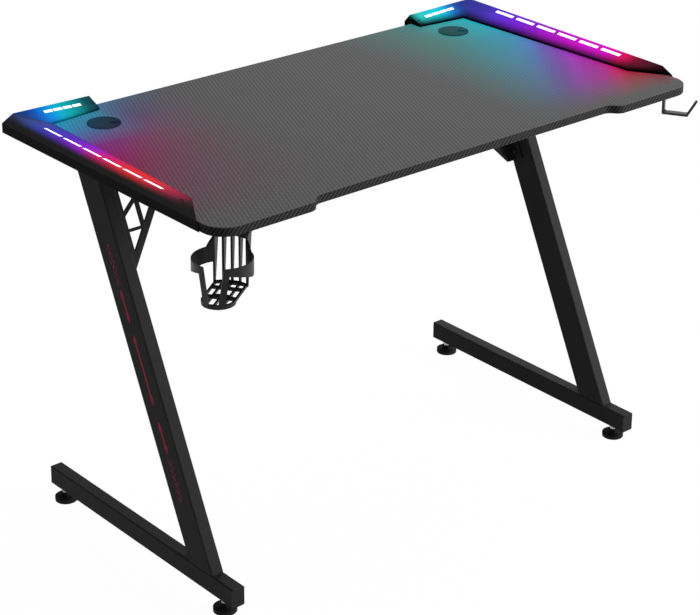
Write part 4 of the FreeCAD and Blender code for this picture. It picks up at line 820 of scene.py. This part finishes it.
def build_world():
    """A white surround: plain white where it is seen, also through a lens, and dimmer as light."""
    world = bpy.data.worlds.new("studio")
    bpy.context.scene.world = world
    world.use_nodes = True
    tree = world.node_tree
    tree.nodes.clear()
    path = add_node(tree, "ShaderNodeLightPath").outputs
    seen = add_node(tree, "ShaderNodeMath", {0: path["Is Camera Ray"], 1: path["Is Transmission Ray"]},
                    operation="MAXIMUM")
    strength = add_node(tree, "ShaderNodeMix", {"Factor": seen, 2: WORLD_STRENGTH, 3: 1.0})
    back = add_node(tree, "ShaderNodeBackground", {"Color": linear("ffffff"), "Strength": strength})
    add_node(tree, "ShaderNodeOutputWorld", {"Surface": back})


def build_studio():
    """The floor, the surround and three soft boxes."""
    build_floor()
    build_world()
    desk = Vector((0, 0, BOARD_TOP / 2))
    for name, (place, size, watts) in SOFT_BOXES.items():
        add_lamp(name, place, desk, size, watts)


def build_camera():
    """The camera at the photograph's place."""
    azimuth = math.radians(CAMERA_AZIMUTH_DEGREES)
    elevation = math.radians(CAMERA_ELEVATION_DEGREES)
    roll = math.radians(CAMERA_ROLL_DEGREES)
    back = Vector((math.sin(azimuth) * math.cos(elevation), -math.cos(azimuth) * math.cos(elevation),
                   math.sin(elevation)))
    right = (-back).cross(Vector((0, 0, 1))).normalized()
    up = back.cross(right)
    turned_right = right * math.cos(roll) + up * math.sin(roll)
    turned_up = up * math.cos(roll) - right * math.sin(roll)
    data = bpy.data.cameras.new("photo_camera")
    data.sensor_fit = "HORIZONTAL"
    data.sensor_width = CAMERA_SENSOR_MM
    data.lens = CAMERA_LENS_MM
    data.shift_x, data.shift_y = CAMERA_SHIFT
    data.clip_end = CAMERA_FAR
    camera = bpy.data.objects.new("photo_camera", data)
    turn = Matrix((turned_right, turned_up, back)).transposed().to_4x4()
    camera.matrix_world = Matrix.Translation(CAMERA_PLACE) @ turn
    bpy.context.scene.collection.objects.link(camera)
    bpy.context.scene.camera = camera


def soften_pieces():
    """Eased edges on the moulded, bent and welded pieces."""
    for side in SIDES:
        for piece, (width, steps) in SIDE_EDGES.items():
            softened(f"{side}_{piece}", width * MM, steps)
    for piece, (width, steps) in SINGLE_EDGES.items():
        softened(piece, width * MM, steps)


paint_nodes()
soften_pieces()
build_fasteners()
for side_name in SIDES:
    stripe(side_name)
build_studio()
build_camera()
bpy.context.scene.view_settings.view_transform = "Standard"
